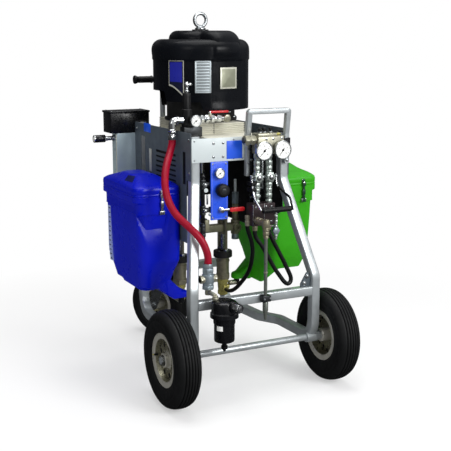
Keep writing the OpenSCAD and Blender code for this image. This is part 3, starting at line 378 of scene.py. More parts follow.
def finish(name, colour, rough, metal=0.0, spread=0.1, patch=30, fine=900, bump=0.12, mottle=0.08,
           coat=0.0, specular=0.5, stretch=(1, 1, 1)):
    """A material with patchy colour, uneven gloss and fine grain."""
    material = bpy.data.materials.new(name)
    material.use_nodes = True
    tree = material.node_tree
    coord = add_node(tree, "TexCoord", {})["Object"]
    where = add_node(tree, "Mapping", {"Vector": coord, "Scale": stretch})["Vector"]

    def cloud(scale, detail, low, high):
        noise = add_node(tree, "TexNoise", {"Vector": where, "Scale": scale, "Detail": detail})["Fac"]
        if low is None:
            return noise
        ends = {
            "Value": noise, "From Min": CLOUD_LOW, "From Max": CLOUD_HIGH, "To Min": low, "To Max": high,
        }
        return add_node(tree, "MapRange", ends)["Result"]

    dark, light = (
        tuple(min(1.0, linear(c) * k) for c in colour) + (1.0,) for k in (1 - spread, 1 + spread)
    )
    tone = add_node(tree, "Mix", {"Factor": cloud(patch, 6, 0, 1), "A": dark, "B": light}, data_type="RGBA")
    relief = add_node(
        tree, "Bump", {"Strength": bump, "Distance": GRAIN_DEPTH, "Height": cloud(fine, 3, None, None)},
    )
    feed(tree, tree.nodes["Principled BSDF"], {
        "Base Color": tone["Result"], "Metallic": metal, "Specular IOR Level": specular,
        "Roughness": cloud(patch * 3, 5, max(0.02, rough - mottle), min(1.0, rough + mottle)),
        "Coat Weight": coat, "Coat Roughness": COAT_ROUGHNESS, "Normal": relief["Normal"],
    })
    return material


zinc = finish("zinc_paint", (176, 182, 184), 0.36, 0.62, patch=22, fine=1400, bump=0.1, mottle=0.07)
nickel = finish("nickel", (166, 164, 146), 0.34, 0.75, spread=0.06, patch=40, bump=0.02, mottle=0.04)
chrome = finish("chrome", (214, 217, 218), 0.12, 1.0, spread=0.06, patch=80, bump=0.02, mottle=0.05)
steel = finish("bright_steel", (168, 172, 174), 0.28, 1.0, spread=0.12, patch=50, bump=0.06, mottle=0.1)
blue_steel = finish("blue_steel", (150, 163, 170), 0.34, 0.7, spread=0.12, patch=50, bump=0.08)
dark_steel = finish("dark_steel", (62, 64, 66), 0.38, 0.8, spread=0.2, patch=40, specular=0.3)
brass = finish("brass", (176, 168, 98), 0.32, 0.65, spread=0.16, patch=50, bump=0.08)
cast = finish("cast_iron", (38, 38, 38), 0.5, 0.4, spread=0.2, patch=60, fine=600, bump=0.35, specular=0.3)
khaki = finish("dull_nickel", (136, 131, 110), 0.36, 0.65, spread=0.2, patch=60, bump=0.1)
olive = finish("olive_steel", (126, 124, 102), 0.42, 0.4, spread=0.15, patch=50)
block_brown = finish("block_brown", (50, 40, 42), 0.44, 0.3, spread=0.15, patch=40, specular=0.3)
motor_black = finish("motor_black", (11, 13, 17), 0.28, spread=0.25, patch=10, fine=1100, bump=0.06,
                     specular=0.11)
black = finish("black_plastic", (12, 12, 14), 0.44, spread=0.2, fine=1200, bump=0.2, specular=0.28)
black_gloss = finish("black_enamel", (10, 11, 14), 0.26, spread=0.2, coat=0.15, specular=0.3)
rubber = finish("rubber", (13, 14, 15), 0.62, spread=0.25, patch=18, fine=1500, bump=0.3, mottle=0.1,
                specular=0.25)
hose_black = finish("hose_rubber", (8, 9, 10), 0.36, spread=0.2, fine=1500, bump=0.15, specular=0.35)
rim_paint = finish("rim_metal", (196, 194, 184), 0.34, 0.6)
rim_hole_shade = finish("painted_rim_hole_shade", (20, 20, 20), 0.5, 0.3, spread=0.2, specular=0.25)
heater_grey = finish("heater_grey", (172, 190, 195), 0.42, 0.3, spread=0.08, patch=14, bump=0.2)
rim_web = finish("rim_web", (150, 148, 128), 0.3, 0.85, spread=0.2, bump=0.15)
mixer_grey = finish("mixer_grey", (120, 125, 118), 0.34, 0.7, spread=0.12, patch=50, bump=0.08)
chrome_dull = finish(
    "dull_chrome", (186, 196, 190), 0.3, 0.85, spread=0.08, patch=50, bump=0.03, mottle=0.04,
)
latch_green = finish("latch_dark_steel", (40, 66, 52), 0.34, 0.6, spread=0.12, patch=50, bump=0.08)
slate = finish(
    "slate_powder", (74, 83, 90), 0.46, spread=0.08, patch=12, fine=1600, bump=0.25, specular=0.35,
)
white_panel = finish("white_powder", (192, 201, 202), 0.38, spread=0.02, patch=12, fine=1600)
cream = finish("cream_cast", (214, 212, 196), 0.5, spread=0.05, patch=16, bump=0.2)
alu = finish("aluminium", (196, 206, 210), 0.42, 0.55, spread=0.06, bump=0.08, stretch=(1, 1, 9))
plate_grey = finish("plate_grey", (152, 154, 134), 0.36, 0.5, spread=0.08, patch=40, bump=0.08)
pale_plate_and_highlight = finish("plate_border_and_edge_highlight", (204, 204, 190), 0.34, 0.4, spread=0.06, patch=40, bump=0.06)
blue_panel = finish("blue_enamel", (36, 84, 222), 0.3, spread=0.08, patch=14, bump=0.06, coat=0.2,
                    specular=0.35)
bright_blue = finish("bright_blue", (30, 84, 214), 0.35, spread=0.05, patch=20, specular=0.35)
label_blue = finish("label_blue", (26, 32, 138), 0.34, spread=0.08, patch=20, specular=0.3)
navy = finish("navy_label", (16, 20, 44), 0.34, patch=20, specular=0.3)
red = finish("red_grip", (186, 20, 28), 0.34, coat=0.2)
red_rubber = finish("red_rubber", (142, 2, 34), 0.36, patch=24, fine=1600, bump=0.2, specular=0.25)
white = finish("gauge_white", (244, 245, 242), 0.5, spread=0.01, bump=0.02)
# Black for print, and also for painted shade in slots, sockets, holes and behind openings
ink_and_painted_shade = finish("ink_and_painted_shade", (12, 12, 13), 0.6, bump=0.02, specular=0.2)
hopper_blue = finish("hopper_blue", (0, 18, 176), 0.29, spread=0.06, patch=9, fine=1100, bump=0.05,
                     mottle=0.03, specular=0.2)
hopper_blue_grip_shade = finish("hopper_shadow_blue", (0, 8, 70), 0.5, patch=9, fine=700, bump=0.14, specular=0.2)
hopper_green = finish("hopper_green", (50, 156, 16), 0.32, spread=0.06, patch=9, fine=1100, bump=0.05,
                      mottle=0.03, specular=0.24)
hopper_green_grip_shade = finish("hopper_shadow_green", (22, 74, 12), 0.5, patch=9, fine=700, bump=0.14, specular=0.2)
pale_scale = finish("level_scale", (150, 164, 214), 0.4, spread=0.08)

SLOT_MATERIALS = {
    "frame_paint": zinc, "black_plastic": black, "zinc": steel, "tyre": rubber, "rim_metal": rim_paint,
    "slate": slate, "white_panel": white_panel, "cream": cream, "cast_iron": cast,
    "motor_black": motor_black, "aluminium": alu, "nickel": nickel, "brass": brass,
    "blue_panel": blue_panel, "red_plastic": red, "red_rubber": red_rubber, "black_rubber": hose_black,
    "gauge_white": white, "filter_black": black_gloss, "hopper_blue": hopper_blue,
    "hopper_green": hopper_green,
}

# ---------- cords ----------

RED_HOSE_R, BLACK_HOSE_R = 12.5, 7.5
RED_ROUTE = [
    (-211, 190, 868), (-211, 190, 856), (-217, 186, 840), (-232, 170, 815), (-250, 150, 790),
    (-264, 130, 762), (-274, 110, 731), (-277, 90, 698), (-271, 71, 664), (-258, 54, 636),
    (-240, 34, 613), (-223, 16, 593), (-206, 3, 572), (-192, -5, 550), (-182, -10, 525),
    (-176, -12, 500), (-176, -12, 478),
]
LOOP_ROUTE = [
    (4, 50, 577), (4, 50, 567), (12, 51, 545), (23, 54, 515), (31, 62, 480), (38, 84, 440),
    (48, 118, 402), (58, 162, 368), (69, 212, 336), (80, 270, 300), (87, 325, 272), (90, 362, 262),
    (90, 382, 262),
]
U_ROUTE = [
    (27, 40, 560), (27, 40, 552), (29, 39.7, 542), (33.5, 39, 532), (40, 38, 522), (53, 36, 505),
    (68, 35, 479), (84, 34, 452), (102, 32, 420), (119, 31, 396), (133, 30, 377), (143, 30, 366),
    (154, 30, 360), (164, 31, 364), (168, 32, 375), (165, 33, 390), (152, 35, 417), (137, 36, 447),
    (122, 38, 475), (107, 40, 503), (99.5, 41.2, 518), (92.5, 42.8, 533), (87.5, 44, 545),
    (85, 44.5, 552), (85, 44.5, 558),
]


def hose(name, route, radius, material, node):
    """A hose as one smooth curve along its route."""
    fine = smooth_path(route, 2)
    curve = bpy.data.curves.new(name, "CURVE")
    curve.dimensions = "3D"
    line = curve.splines.new("POLY")
    line.points.add(len(fine) - 1)
    for point, p in zip(line.points, fine):
        point.co = (CART @ p).to_4d()
    curve.bevel_depth = radius * MM
    curve.bevel_resolution = 6
    curve.use_fill_caps = True
    line.use_smooth = True
    curve.materials.append(material)
    piece = stand(name, curve)
    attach(piece, BODY_OF[node])
    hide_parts(node)


hose("red_air_hose", RED_ROUTE, RED_HOSE_R, red_rubber, "red_hose")
hose("fluid_hose_loop", LOOP_ROUTE, BLACK_HOSE_R, hose_black, "black_hoses")
hose("fluid_hose_u", U_ROUTE, BLACK_HOSE_R, hose_black, "black_hoses")

# ---------- frame ----------

TUBE, POST_X, FOOT_X, FRONT_Y, REAR_Y = 32, 170, 234, 107, 573
RAIL_Z, KNEE_Z, ANKLE_Z, FRONT_TOP, REAR_TOP, DECK_Z = 166, 722, 390, 885, 897, 868
CROSS_Z, CROSS_Y, REAR_CROSS_Z = 340, -15, 322
HALF_TUBE = TUBE / 2
INNER_X, OUTER_X = POST_X - HALF_TUBE, POST_X + HALF_TUBE
FRONT_FACE, REAR_FACE = FRONT_Y - HALF_TUBE, REAR_Y + HALF_TUBE


def side_frame(side, m):
    path = bent(
        [(POST_X, FRONT_Y, FRONT_TOP), (POST_X, FRONT_Y, KNEE_Z), (FOOT_X, CROSS_Y, ANKLE_Z),
         (FOOT_X, CROSS_Y, RAIL_Z), (FOOT_X, 222, RAIL_Z), (190, 300, RAIL_Z),
         (POST_X, REAR_Y, RAIL_Z), (POST_X, REAR_Y, REAR_TOP)],
        (60, 60, 62, 60, 60, 70), 10,
    )
    form = Form(f"side_frame_tube_{side}", f"side_frame_{side}")
    form.add(sweep(path, square_section(TUBE, 4.5), (1, 0, 0), True), zinc, m)
    # Weld beads where the cross tubes land
    for y, z in ((FRONT_Y, DECK_Z - HALF_TUBE), (REAR_Y, DECK_Z - HALF_TUBE), (REAR_Y, REAR_CROSS_Z)):
        loop = [(INNER_X - 0.6, y + a, z + b) for a, b in round_rect(-16.5, 16.5, -16.5, 16.5, 4, 2)]
        form.add(sweep(loop + loop[:1], round_section(1.9, 8), (1, 0, 0)), zinc, m)
    form.done(40)


def cross_bar(half, y, z):
    return sweep([(-half, y, z), (half, y, z)], square_section(TUBE, 4.5), (0, 1, 0), True)


def front_cross_tubes():
    form = Form("front_crossbars", "front_cross_tubes")
    form.add(cross_bar(FOOT_X - HALF_TUBE, CROSS_Y, CROSS_Z), zinc)
    form.add(cross_bar(INNER_X, FRONT_Y, DECK_Z - HALF_TUBE), zinc)
    inner, top = FOOT_X - HALF_TUBE, CROSS_Z + HALF_TUBE
    outline = [(0, 0), (-40, 0), (-40, 12), *arc_points((-13, 45), 5.5, 160, 20, 6), (0, 22)]
    form.add(prism(outline, 6), slate, to_front(inner, CROSS_Y + 3, top))
    form.done(40)
    bolts = Form("gusset_bolts")
    for x, z in ((-15, 36), (-26, 12)):
        m = to_front(inner + x, CROSS_Y - 3, top + z)
        bolts.add(disc(8, 1.4, 0.4), steel, m)
        bolts.add(hexagon(6, 5), chrome, m)
    bolts.done()


def rear_frame():
    form = Form("rear_crossbars", "rear_frame")
    for z in (DECK_Z - HALF_TUBE, REAR_CROSS_Z):
        form.add(cross_bar(INNER_X, REAR_Y, z), zinc)
    rail = sweep(
        [(45, REAR_FACE, REAR_CROSS_Z), (45, 770, REAR_CROSS_Z)], square_section(TUBE, 4.5), (1, 0, 0),
        True,
    )
    form.add(rail, zinc, *SIDES)
    form.add(block((45 - 13, 769, REAR_CROSS_Z - 13), (45 + 13, 772, REAR_CROSS_Z + 13)), black, *SIDES)
    form.done(40)


def bushes_and_plugs():
    form = Form("axle_bush_rings", "axle_bushes")
    form.add(ring(12.1, 19, TUBE + 12, 1.2, 40), zinc,
             *[s @ to_right(FOOT_X - HALF_TUBE - 6, 0, 165) for s in SIDES])
    form.done()
    form = Form("post_caps", "tube_plugs")
    for x in (-POST_X, POST_X):
        for y, z in ((FRONT_Y, FRONT_TOP), (REAR_Y, REAR_TOP)):
            form.add(block((x - 16, y - 16, z - 0.5), (x + 16, y + 16, z + 4), 2, 3), black)
    form.done()


# ---------- wheels ----------

WHEEL_R, TYRE_W, WHEEL_X, SEAT_R = 165, 86, 304, 76


def tyre_form(form, radius, width, seat, lip, grooves, m):
    """A tyre with a grooved crown, shoulder steps and a ribbed sidewall."""
    r, w = radius, width
    right = [(seat, 0.34 * w), (seat + lip + 2, 0.36 * w), (seat + lip + 7, 0.42 * w),
             (seat + 0.30 * (r - seat), 0.465 * w), (seat + 0.46 * (r - seat), 0.49 * w),
             (seat + 0.60 * (r - seat), 0.497 * w), (seat + 0.615 * (r - seat), 0.485 * w),
             (seat + 0.64 * (r - seat), 0.485 * w), (seat + 0.655 * (r - seat), 0.493 * w),
             (r - 0.22 * w, 0.475 * w), (r - 0.15 * w, 0.43 * w), (r - 0.085 * w, 0.365 * w)]
    edge, depth, gap = 0.36 * w, 5.0, 1.9
    count = grooves + 1

    def surface(y):
        """Radius of the crown, which falls off towards its edges."""
        return r - 0.085 * w * (abs(y) / edge) ** 2.6

    crown = []
    for i in range(count):
        start, stop = (edge - 2 * edge * k / count for k in (i, i + 1))
        a, b = (start - gap if i else start), (stop + gap if i < count - 1 else stop)
        if i:
            crown += [(surface(start) - depth, start - gap * 0.5), (surface(a) - 0.8, a - 0.1),
                      (surface(a - 1), a - 1.1)]
        crown.append((surface((a + b) / 2), (a + b) / 2))
        if i < count - 1:
            crown += [(surface(b + 1), b + 1.1), (surface(b) - 0.8, b + 0.1),
                      (surface(stop) - depth, stop + gap * 0.5)]
    left = [(a, -b) for a, b in reversed(right)]
    form.add(lathe(right + crown + left, 128), rubber, m)


def rim_form(form, seat, lip, width, hub, hub_half, holes, bore, m):
    """A pressed rim: rolled lips, a deep dish, a ring of holes drawn as dark discs of painted shade,
    pressed lugs with dark centres of painted shade, and a hub.
    """
    edge = width * 0.36 + 2
    web = width * 0.16
    outline = [
        (seat + lip, edge - 2.6), (seat + lip + 1.2, edge - 1.2), (seat + lip, edge),
        (seat + lip - 3, edge - 0.2), (seat + 1, edge - 1), (seat - 4, edge - 4), (seat - 6, web + 8),
        (seat - 9, web - 3), (seat - 15, web - 6), (seat - 19, web + 1), (hub + 14, web + 4.5),
        (hub + 9, web + 3), (hub + 4, web),
    ]
    back = [
        (seat + lip, -edge + 2.6), (seat + lip + 1.2, -edge + 1.2), (seat + lip, -edge),
        (seat + 1, -edge + 1), (seat - 4, -edge + 4), (seat - 5, web - 8), (seat - 16, web - 10),
        (hub + 6, web - 4), (hub, web - 4),
    ]
    for profile, material in (
        (outline[:6], rim_paint), (outline[5:10], rim_web), (outline[9:], rim_web),
        (back[:5], rim_paint), (back[4:], rim_web),
    ):
        form.add(lathe(profile, 96), material, m)
    sleeve = [
        (hub + 5, web - 3), (hub + 4, web + 2), (hub, web + 4), (hub, hub_half - 2), (hub - 2, hub_half),
        (bore + 7, hub_half), (bore + 6.5, hub_half - 3),
    ]
    form.add(lathe(sleeve), rim_paint, m)
    form.add(ring(bore + 0.2, bore + 7, 3, 0.6, 40), dark_steel, m @ place(0, 0, hub_half - 4))
    profile = [(hub, web - 4), (hub, -hub_half + 2), (hub - 2, -hub_half), (bore + 0.2, -hub_half)]
    form.add(lathe(profile), rim_paint, m)
    # The ring of holes: the dark discs are painted shade standing in for openings
    for i in range(2 * holes):
        x, y = spoke(i + 0.25, 2 * holes, seat - 13)
        form.add(disc(4.4, 2.4, 1.0, 16), rim_paint if i % 2 else rim_hole_shade, m @ place(x, y, web - 4.5))
        form.add(disc(5.2, 2.4, 0.8, 16), rim_hole_shade, m @ place(x, y, web - 11))
    size = (seat - hub) * 0.2
    # Pressed lugs, each with a dark disc in its middle: painted shade
    for i in range(holes):
        spot = m @ place(*spoke(i + 0.5, holes, (hub + seat) / 2 + 1), web + 1.5)
        form.add(ring(size - 1.6, size + 1.4, 3.4, 1.2, 24), rim_web, spot)
        form.add(disc(size - 1.2, 1.2, 0.3, 24), ink_and_painted_shade, spot @ place(0, 0, 1.2))
    for i in range(holes):
        form.add(disc(2.6, 2.4, 1.1, 12), rim_paint, m @ place(*spoke(i, holes, hub + 9), web + 2))


def wheel(side, m):
    spot = m @ to_right(WHEEL_X, 0, WHEEL_R)
    form = Form(f"tyre_{side}_tread", f"tyre_{side}")
    tyre_form(form, WHEEL_R, TYRE_W, SEAT_R, 14, 5, spot)
    form.done(50)
    form = Form(f"rim_{side}_pressed", f"rim_{side}")
    rim_form(form, SEAT_R, 14, TYRE_W, 24, 32, 8, 12, spot)
    stem = spot @ place(SEAT_R - 12, 0, 22) @ turned(18, "Y")
    form.add(disc(3.2, 14, 0.8, 16), rubber, stem)
    form.add(disc(2.4, 19, 0.6, 16), brass, stem)
    form.done(40)


def axle():
    form = Form("axle_shaft", "wheel_axle")
    end = WHEEL_X + 32 + 9.5
    form.add(disc(12, 2 * end, 1.5), zinc, to_right(-end, 0, WHEEL_R))
    for s in SIDES:
        spacer = disc(16, WHEEL_X - 32 - 0.3 - FOOT_X - 22, 0.8)
        form.add(spacer, zinc, s @ to_right(FOOT_X + 22, 0, WHEEL_R))
        form.add(hexagon(18, 8.6, 1.6), steel, s @ to_right(WHEEL_X + 32.4, 0, WHEEL_R))
    form.done()


# ---------- air motor ----------

MOTOR_Y, COVER_R = 410, 177
COVER_LOW, LEDGE_Z, SHOULDER_Z, COVER_TOP = 955, 1130, 1200, 1230
CROWN_R, LOBE_R, LOBE_START, LOBE_STOP = 114, 173, -18.0, 44.0
DECK_T, TIE_BLOCK_H, TIE_BLOCK_X = 6, 38, 92
BASE_Z = DECK_Z + DECK_T + TIE_BLOCK_H
SHOULDER_R = 36
MOTOR = place(0, MOTOR_Y, 0)


def ease(t):
    t = max(0.0, min(1.0, t))
    return t * t * (3 - 2 * t)


def around(degrees, radius, z):
    """A point on the motor, its angle counted from the front towards the right."""
    a = radians(degrees)
    return Vector((radius * sin(a), -radius * cos(a), z))


def on_cover(degrees, radius, z):
    """A place on the motor that faces outwards, with its Y axis up."""
    a = radians(degrees)
    out = Vector((sin(a), -cos(a), 0))
    up = Vector((0, 0, 1))
    m = Matrix((up.cross(out), up, out)).transposed().to_4x4()
    return MOTOR @ Matrix.Translation(around(degrees, radius, z)) @ m


FACE_START, FACE_STOP = -12.5, 29.0


def cover_skin():
    """The shell: a stepped drum with a raised left edge and a flat-bottomed field on its front."""
    steps = 180
    heights = [COVER_LOW, COVER_LOW + 2, *range(COVER_LOW + 12, LEDGE_Z - 10, 12), LEDGE_Z - 7, LEDGE_Z - 4,
               LEDGE_Z - 2, LEDGE_Z, LEDGE_Z + 3, LEDGE_Z + 12, LEDGE_Z + 24]
    rows = []

    def drum(z):
        if z < LEDGE_Z - 4:
            return COVER_R - 3
        return COVER_R - 3 + 3 * ease((z - LEDGE_Z + 4) / 4)

    def low_edge(deg):
        """Height of the shell's lower edge: higher on the left, where the regulator stands."""
        left = ease((-deg - 22) / 4) * ease((deg + 150) / 10)
        further = ease((-deg - 70) / 4) * ease((deg + 150) / 10)
        return 30 * left + 36 * further

    def field(deg, z):
        inside = ease((deg - FACE_START) / 1.6) * ease((FACE_STOP - deg) / 1.6)
        below = ease((LEDGE_Z + 14 - z) / 8) * ease((z - COVER_LOW - 12) / 8)
        bulge = ease((z - LEDGE_Z - 14) / 10)
        swell = sin(pi * max(0, min(1, (deg - FACE_START) / (FACE_STOP - FACE_START))))
        return inside * (bulge * 3.2 * swell ** 0.5 - below * 3.5)

    def left_lobe(deg, z):
        """Upright step of the left part, which stands behind the grille's seam."""
        return -2.2 * ease((-deg - 66) / 1.5) * ease((deg + 150) / 6) * ease((LEDGE_Z + 30 - z) / 20)

    degs = [360.0 * i / steps - 180 for i in range(steps)]
    for z in heights:
        row = []
        for deg in degs:
            h = z + low_edge(deg) * max(0.0, 1 - (z - COVER_LOW) / 110)
            row.append(MOTOR @ around(deg, drum(h) + min(0.0, field(deg, h)) + left_lobe(deg, h), h))
        rows.append(row)
    for a in range(0, 91, 9):
        turn = radians(a)
        radius = COVER_R - 0.4 - SHOULDER_R + SHOULDER_R * cos(turn)
        z = SHOULDER_Z - SHOULDER_R + SHOULDER_R * sin(turn)
        rows.append([MOTOR @ around(deg, radius + min(0, field(deg, z)), z) for deg in degs])
    rows.append([MOTOR @ around(deg, 60, SHOULDER_Z) for deg in degs])
    return loft(rows, cap_start=False)


def crown_skin():
    """The low crown, which reaches out to the wall in a lobe at the front right."""
    degs = [2.0 * i - 180 for i in range(180)]
    rows = []
    for a in (-1, *range(0, 91, 6)):
        row = []
        for deg in degs:
            out = ease((deg - LOBE_START + 10) / 26) * ease((LOBE_STOP + 6 - deg) / 22)
            radius, bend = CROWN_R + (LOBE_R - CROWN_R) * out, 31 + 25 * out
            turn = radians(max(0, a))
            z = COVER_TOP - bend + bend * sin(turn) if a >= 0 else SHOULDER_Z - 40
            row.append(around(deg, radius - bend + bend * cos(turn), z))
        rows.append(row)
    return loft(rows, cap_start=False)


def sector_pad(start, stop, z0, z1, proud, lift):
    """A softly raised pad on the drum between two angles and two heights."""
    rows = []
    for j in range(13):
        v = j / 12
        row = []
        for i in range(25):
            u = i / 24
            rim = min(ease(u / 0.12), ease((1 - u) / 0.12), ease(v / 0.14), ease((1 - v) / 0.14))
            z = z0 + (z1 - z0) * v
            over = min(SHOULDER_R, max(0.0, z - (SHOULDER_Z - SHOULDER_R)))
            shrink = SHOULDER_R - sqrt(SHOULDER_R**2 - over * over)
            radius = COVER_R - shrink - 2 + proud * rim + lift * sin(pi * v) * rim
            row.append(MOTOR @ around(start + (stop - start) * u, radius, z))
        rows.append(row)
    bm = skin(rows)
    bmesh.ops.recalc_face_normals(bm, faces=bm.faces)
    return bm


def motor_cover():
    form = Form("motor_shell", "motor_cover")
    form.add(cover_skin(), motor_black)
    form.add(crown_skin(), motor_black, MOTOR)
    form.add(sector_pad(FACE_START, FACE_STOP, LEDGE_Z + 8, LEDGE_Z + 84, 4.5, 2.0), motor_black)
    form.done(38)


def wrapped(start, stop, low_left, low_right, high, radius):
    """A thin skin on the drum between two angles, its lower edge falling in a curve."""
    steps, rows = 16, 6

    def point(i, j):
        t = i / steps
        low = low_left + (low_right - low_left) * t**1.6
        return around(start + (stop - start) * t, radius, low + (high - low) * j / rows)

    return skin([[point(i, j) for i in range(steps + 1)] for j in range(rows + 1)])


def cover_trim():
    """Blank label with a thin border, and a blank metal plate."""
    form = Form("cover_trim")
    for start, stop, low_left, low_right, high, radius, material in (
        (
            -64.6, -44.6, 1041, 1001, 1129, 175.0, pale_plate_and_highlight,
        ), (-63.7, -45.6, 1046, 1010, 1125.5, 175.3, navy),
        (-62.8, -46.6, 1055, 1053, 1122, 175.6, label_blue),
    ):
        form.add(wrapped(start, stop, low_left, low_right, high, radius), material, MOTOR)
    plate = on_cover(9.5, COVER_R - 7.6, 1067)
    form.add(prism(round_rect(-35, 35, -37, 37, 2), 2.4, 0.6), pale_plate_and_highlight, plate)
    form.add(prism(round_rect(-29, 29, -31, 31, 1), 0.6, 0.2), plate_grey, plate @ place(0, 0, 2.2))
    form.done()


def exhaust_grille():
    form = Form("grille_insert", "exhaust_grille")
    m = MOTOR @ turned(-22.5)
    w, z0, h, fins = 56, 1017, 110, 10
    front = -COVER_R - 1
    for x0, x1 in ((-w / 2, 5 - w / 2), (w / 2 - 5, w / 2)):
        form.add(block((x0, front, z0), (x1, front + 26, z0 + h), 1.2), alu, m)
    for za, zb in ((z0, z0 + 4), (z0 + h - 4, z0 + h)):
        form.add(block((-w / 2, front, za), (w / 2, front + 26, zb), 1.2), alu, m)
    # A dark plate behind the fins: painted shade in the grille's gaps
    form.add(block((-w / 2 + 2, front + 17, z0 + 2), (w / 2 - 2, front + 25, z0 + h - 2), 0.5), ink_and_painted_shade, m)
    pitch = (h - 8) / fins
    for i in range(fins):
        z = z0 + 4 + pitch * (i + 0.5)
        fin = prism([(0, -4.2), (14, 0.4), (14, 2.4), (0, 3.6)], w - 8, 0.5)
        form.add(fin, alu, m @ place(-w / 2 + 4, front + 1, z) @ turned(90, "Y") @ turned(90, "Z"))
    form.done()


def motor_base():
    form = Form("motor_base_casting", "motor_base")
    form.add(disc(132, 10, 1.5, 96), cast, MOTOR @ place(0, 0, BASE_Z))
    form.add(disc(124, 100, 2, 96), cast, MOTOR @ place(0, 0, BASE_Z))
    for i in range(12):
        a = 30 * i + 15
        p = around(a, 128, BASE_Z + 10)
        form.add(hexagon(5, 4), steel, MOTOR @ Matrix.Translation(p))
    form.add(disc(78, COVER_TOP - 6 - BASE_Z, 1, 48), cast, MOTOR @ place(0, 0, BASE_Z))
    form.done()


def lifting_eye():
    form = Form("eye_bolt", "lifting_eye")
    inner, bar = 17, 12
    outer = inner + bar
    eye_z = COVER_TOP + 4 + 9 - 5 + outer
    mid, half = (inner + outer) / 2, bar / 2
    form.add(lathe(arc_points((mid, 0), half, 0, 360, 20), 64), steel, MOTOR @ to_front(0, 0, eye_z))
    profile = [(0, 0), (19, 0), (19.5, 1.5), (19, 5), (13, 8), (9.5, 12), (9, 16), (0, 16)]
    form.add(lathe(profile), steel, MOTOR @ place(0, 0, COVER_TOP + 4))
    form.add(disc(8, 40), steel, MOTOR @ place(0, 0, COVER_TOP - 30))
    form.done(50)
    form = Form("eye_washer_rubber", "eye_washer")
    form.add(ring(8.1, 30, 4, 1.3, 56), black, MOTOR @ place(0, 0, COVER_TOP))
    form.done()


def tie_plate():
    form = Form("tie_block_ribbed", "tie_plate")
    back = REAR_FACE - 6
    deck = block(
        (-TIE_BLOCK_X - 16, FRONT_FACE, DECK_Z), (TIE_BLOCK_X + 16, REAR_FACE, DECK_Z + DECK_T), 1.2,
    )
    form.add(deck, cream)
    x, y0, z = TIE_BLOCK_X, 240, DECK_Z + DECK_T
    layers = [(6.4 * i, 6.4 * i + 4.6) for i in range(6)]
    for low, high in layers:
        form.add(block((-x, y0, z + low), (x, back, z + high), 1.4), cream)
    form.add(block((-x + 3, y0 + 3, z + 1), (x - 3, back - 3, z + TIE_BLOCK_H - 1), 0.5), cream)
    form.add(block((-29.8, y0 - 0.4, z + 0.5), (-28.2, y0 + 4, z + TIE_BLOCK_H - 0.5), 0.2), cast)
    form.done()


# ---------- hoppers and lids ----------

HOPPER_IN, HOPPER_OUT, HOPPER_Y, HOPPER_LEN = OUTER_X + 2, 345, 180, 313
HOPPER_TOP, HOPPER_LOW, HOPPER_BOTTOM, RIM_OVER, WALL = 681, 348, 294, 11, 4
RIM_LOW, LIP_LOW, KNEE = HOPPER_TOP - 60, HOPPER_TOP - 22, HOPPER_LOW + 104
RECESS_LOW, RECESS_TOP, RECESS_DEPTH = HOPPER_TOP - 176, HOPPER_TOP - 66, 30
HOPPER_BACK, HOPPER_MID = HOPPER_Y + HOPPER_LEN, HOPPER_Y + HOPPER_LEN / 2
RIM_FRONT, HINGE_Y = HOPPER_Y - RIM_OVER, HOPPER_BACK + RIM_OVER + 6
OUTLET_Z = 278
CORNER_R, ROUND_CORNER_R, NOSE_X, NOSE_R = 22, 32, 150, 22
SKIRT, ROOF = HOPPER_TOP + 27, HOPPER_TOP + 64
RAYS, TANGENTS = 168, 96
LATCH_Z = HOPPER_TOP - 56
TURNED = place(0, 2 * HOPPER_MID, 0) @ Matrix.Scale(-1, 4, (0, 1, 0))


def hull_ring(circles, z, shrink=0.0, middle=None, rays=RAYS):
    """The outline round some circles (x, y, radius), as points at even angles round a middle."""
    mx, my = middle or ((HOPPER_IN + HOPPER_OUT) / 2, HOPPER_MID)
    tangents = []
    for i in range(TANGENTS):
        c, n = spoke(i, TANGENTS, 1)
        tangents.append((c, n, max((x - mx) * c + (y - my) * n + r for x, y, r in circles) - shrink))
    points = []
    for j in range(rays):
        c, n = spoke(j, rays, 1)
        reach = min(h / (a * c + b * n) for a, b, h in tangents if a * c + b * n > 0.05)
        x = mx + reach * c
        points.append(Vector((x, my + reach * n, z(x) if callable(z) else z)))
    return points


def walls(outer, plain, recess, tuck, z, shrink=0.0):
    """One level of a hopper, drawn in at its outer, plain and recessed sides."""
    y0, y1, r, q = HOPPER_Y + plain, HOPPER_BACK - recess, CORNER_R, ROUND_CORNER_R
    circles = [(HOPPER_IN + r, y0 + r, r), (HOPPER_IN + r, y1 - tuck - r, r),
               (HOPPER_OUT - outer - r, y0 + r, r), (HOPPER_OUT - outer - q, y1 - q, q)]
    return hull_ring(circles, z, shrink)


def floor_height(x):
    """The floor is level at the outer side and falls towards the pump."""
    level = HOPPER_OUT - 85
    return HOPPER_LOW - max(0.0, (level - x) / (level - HOPPER_IN)) * 50


def recessed(point):
    """Sinks the upper middle of one face, deepest under the rim."""
    x, y, z = point
    side = ease((x - HOPPER_IN - 54) / 12)
    rise = max(0.0, (z - RECESS_LOW) / (RECESS_TOP - RECESS_LOW))
    depth = RECESS_DEPTH * rise ** 1.7 * ease((RECESS_TOP + 2 - z) / 5)
    return Vector((x, min(y, HOPPER_BACK + RIM_OVER - depth * side), z))


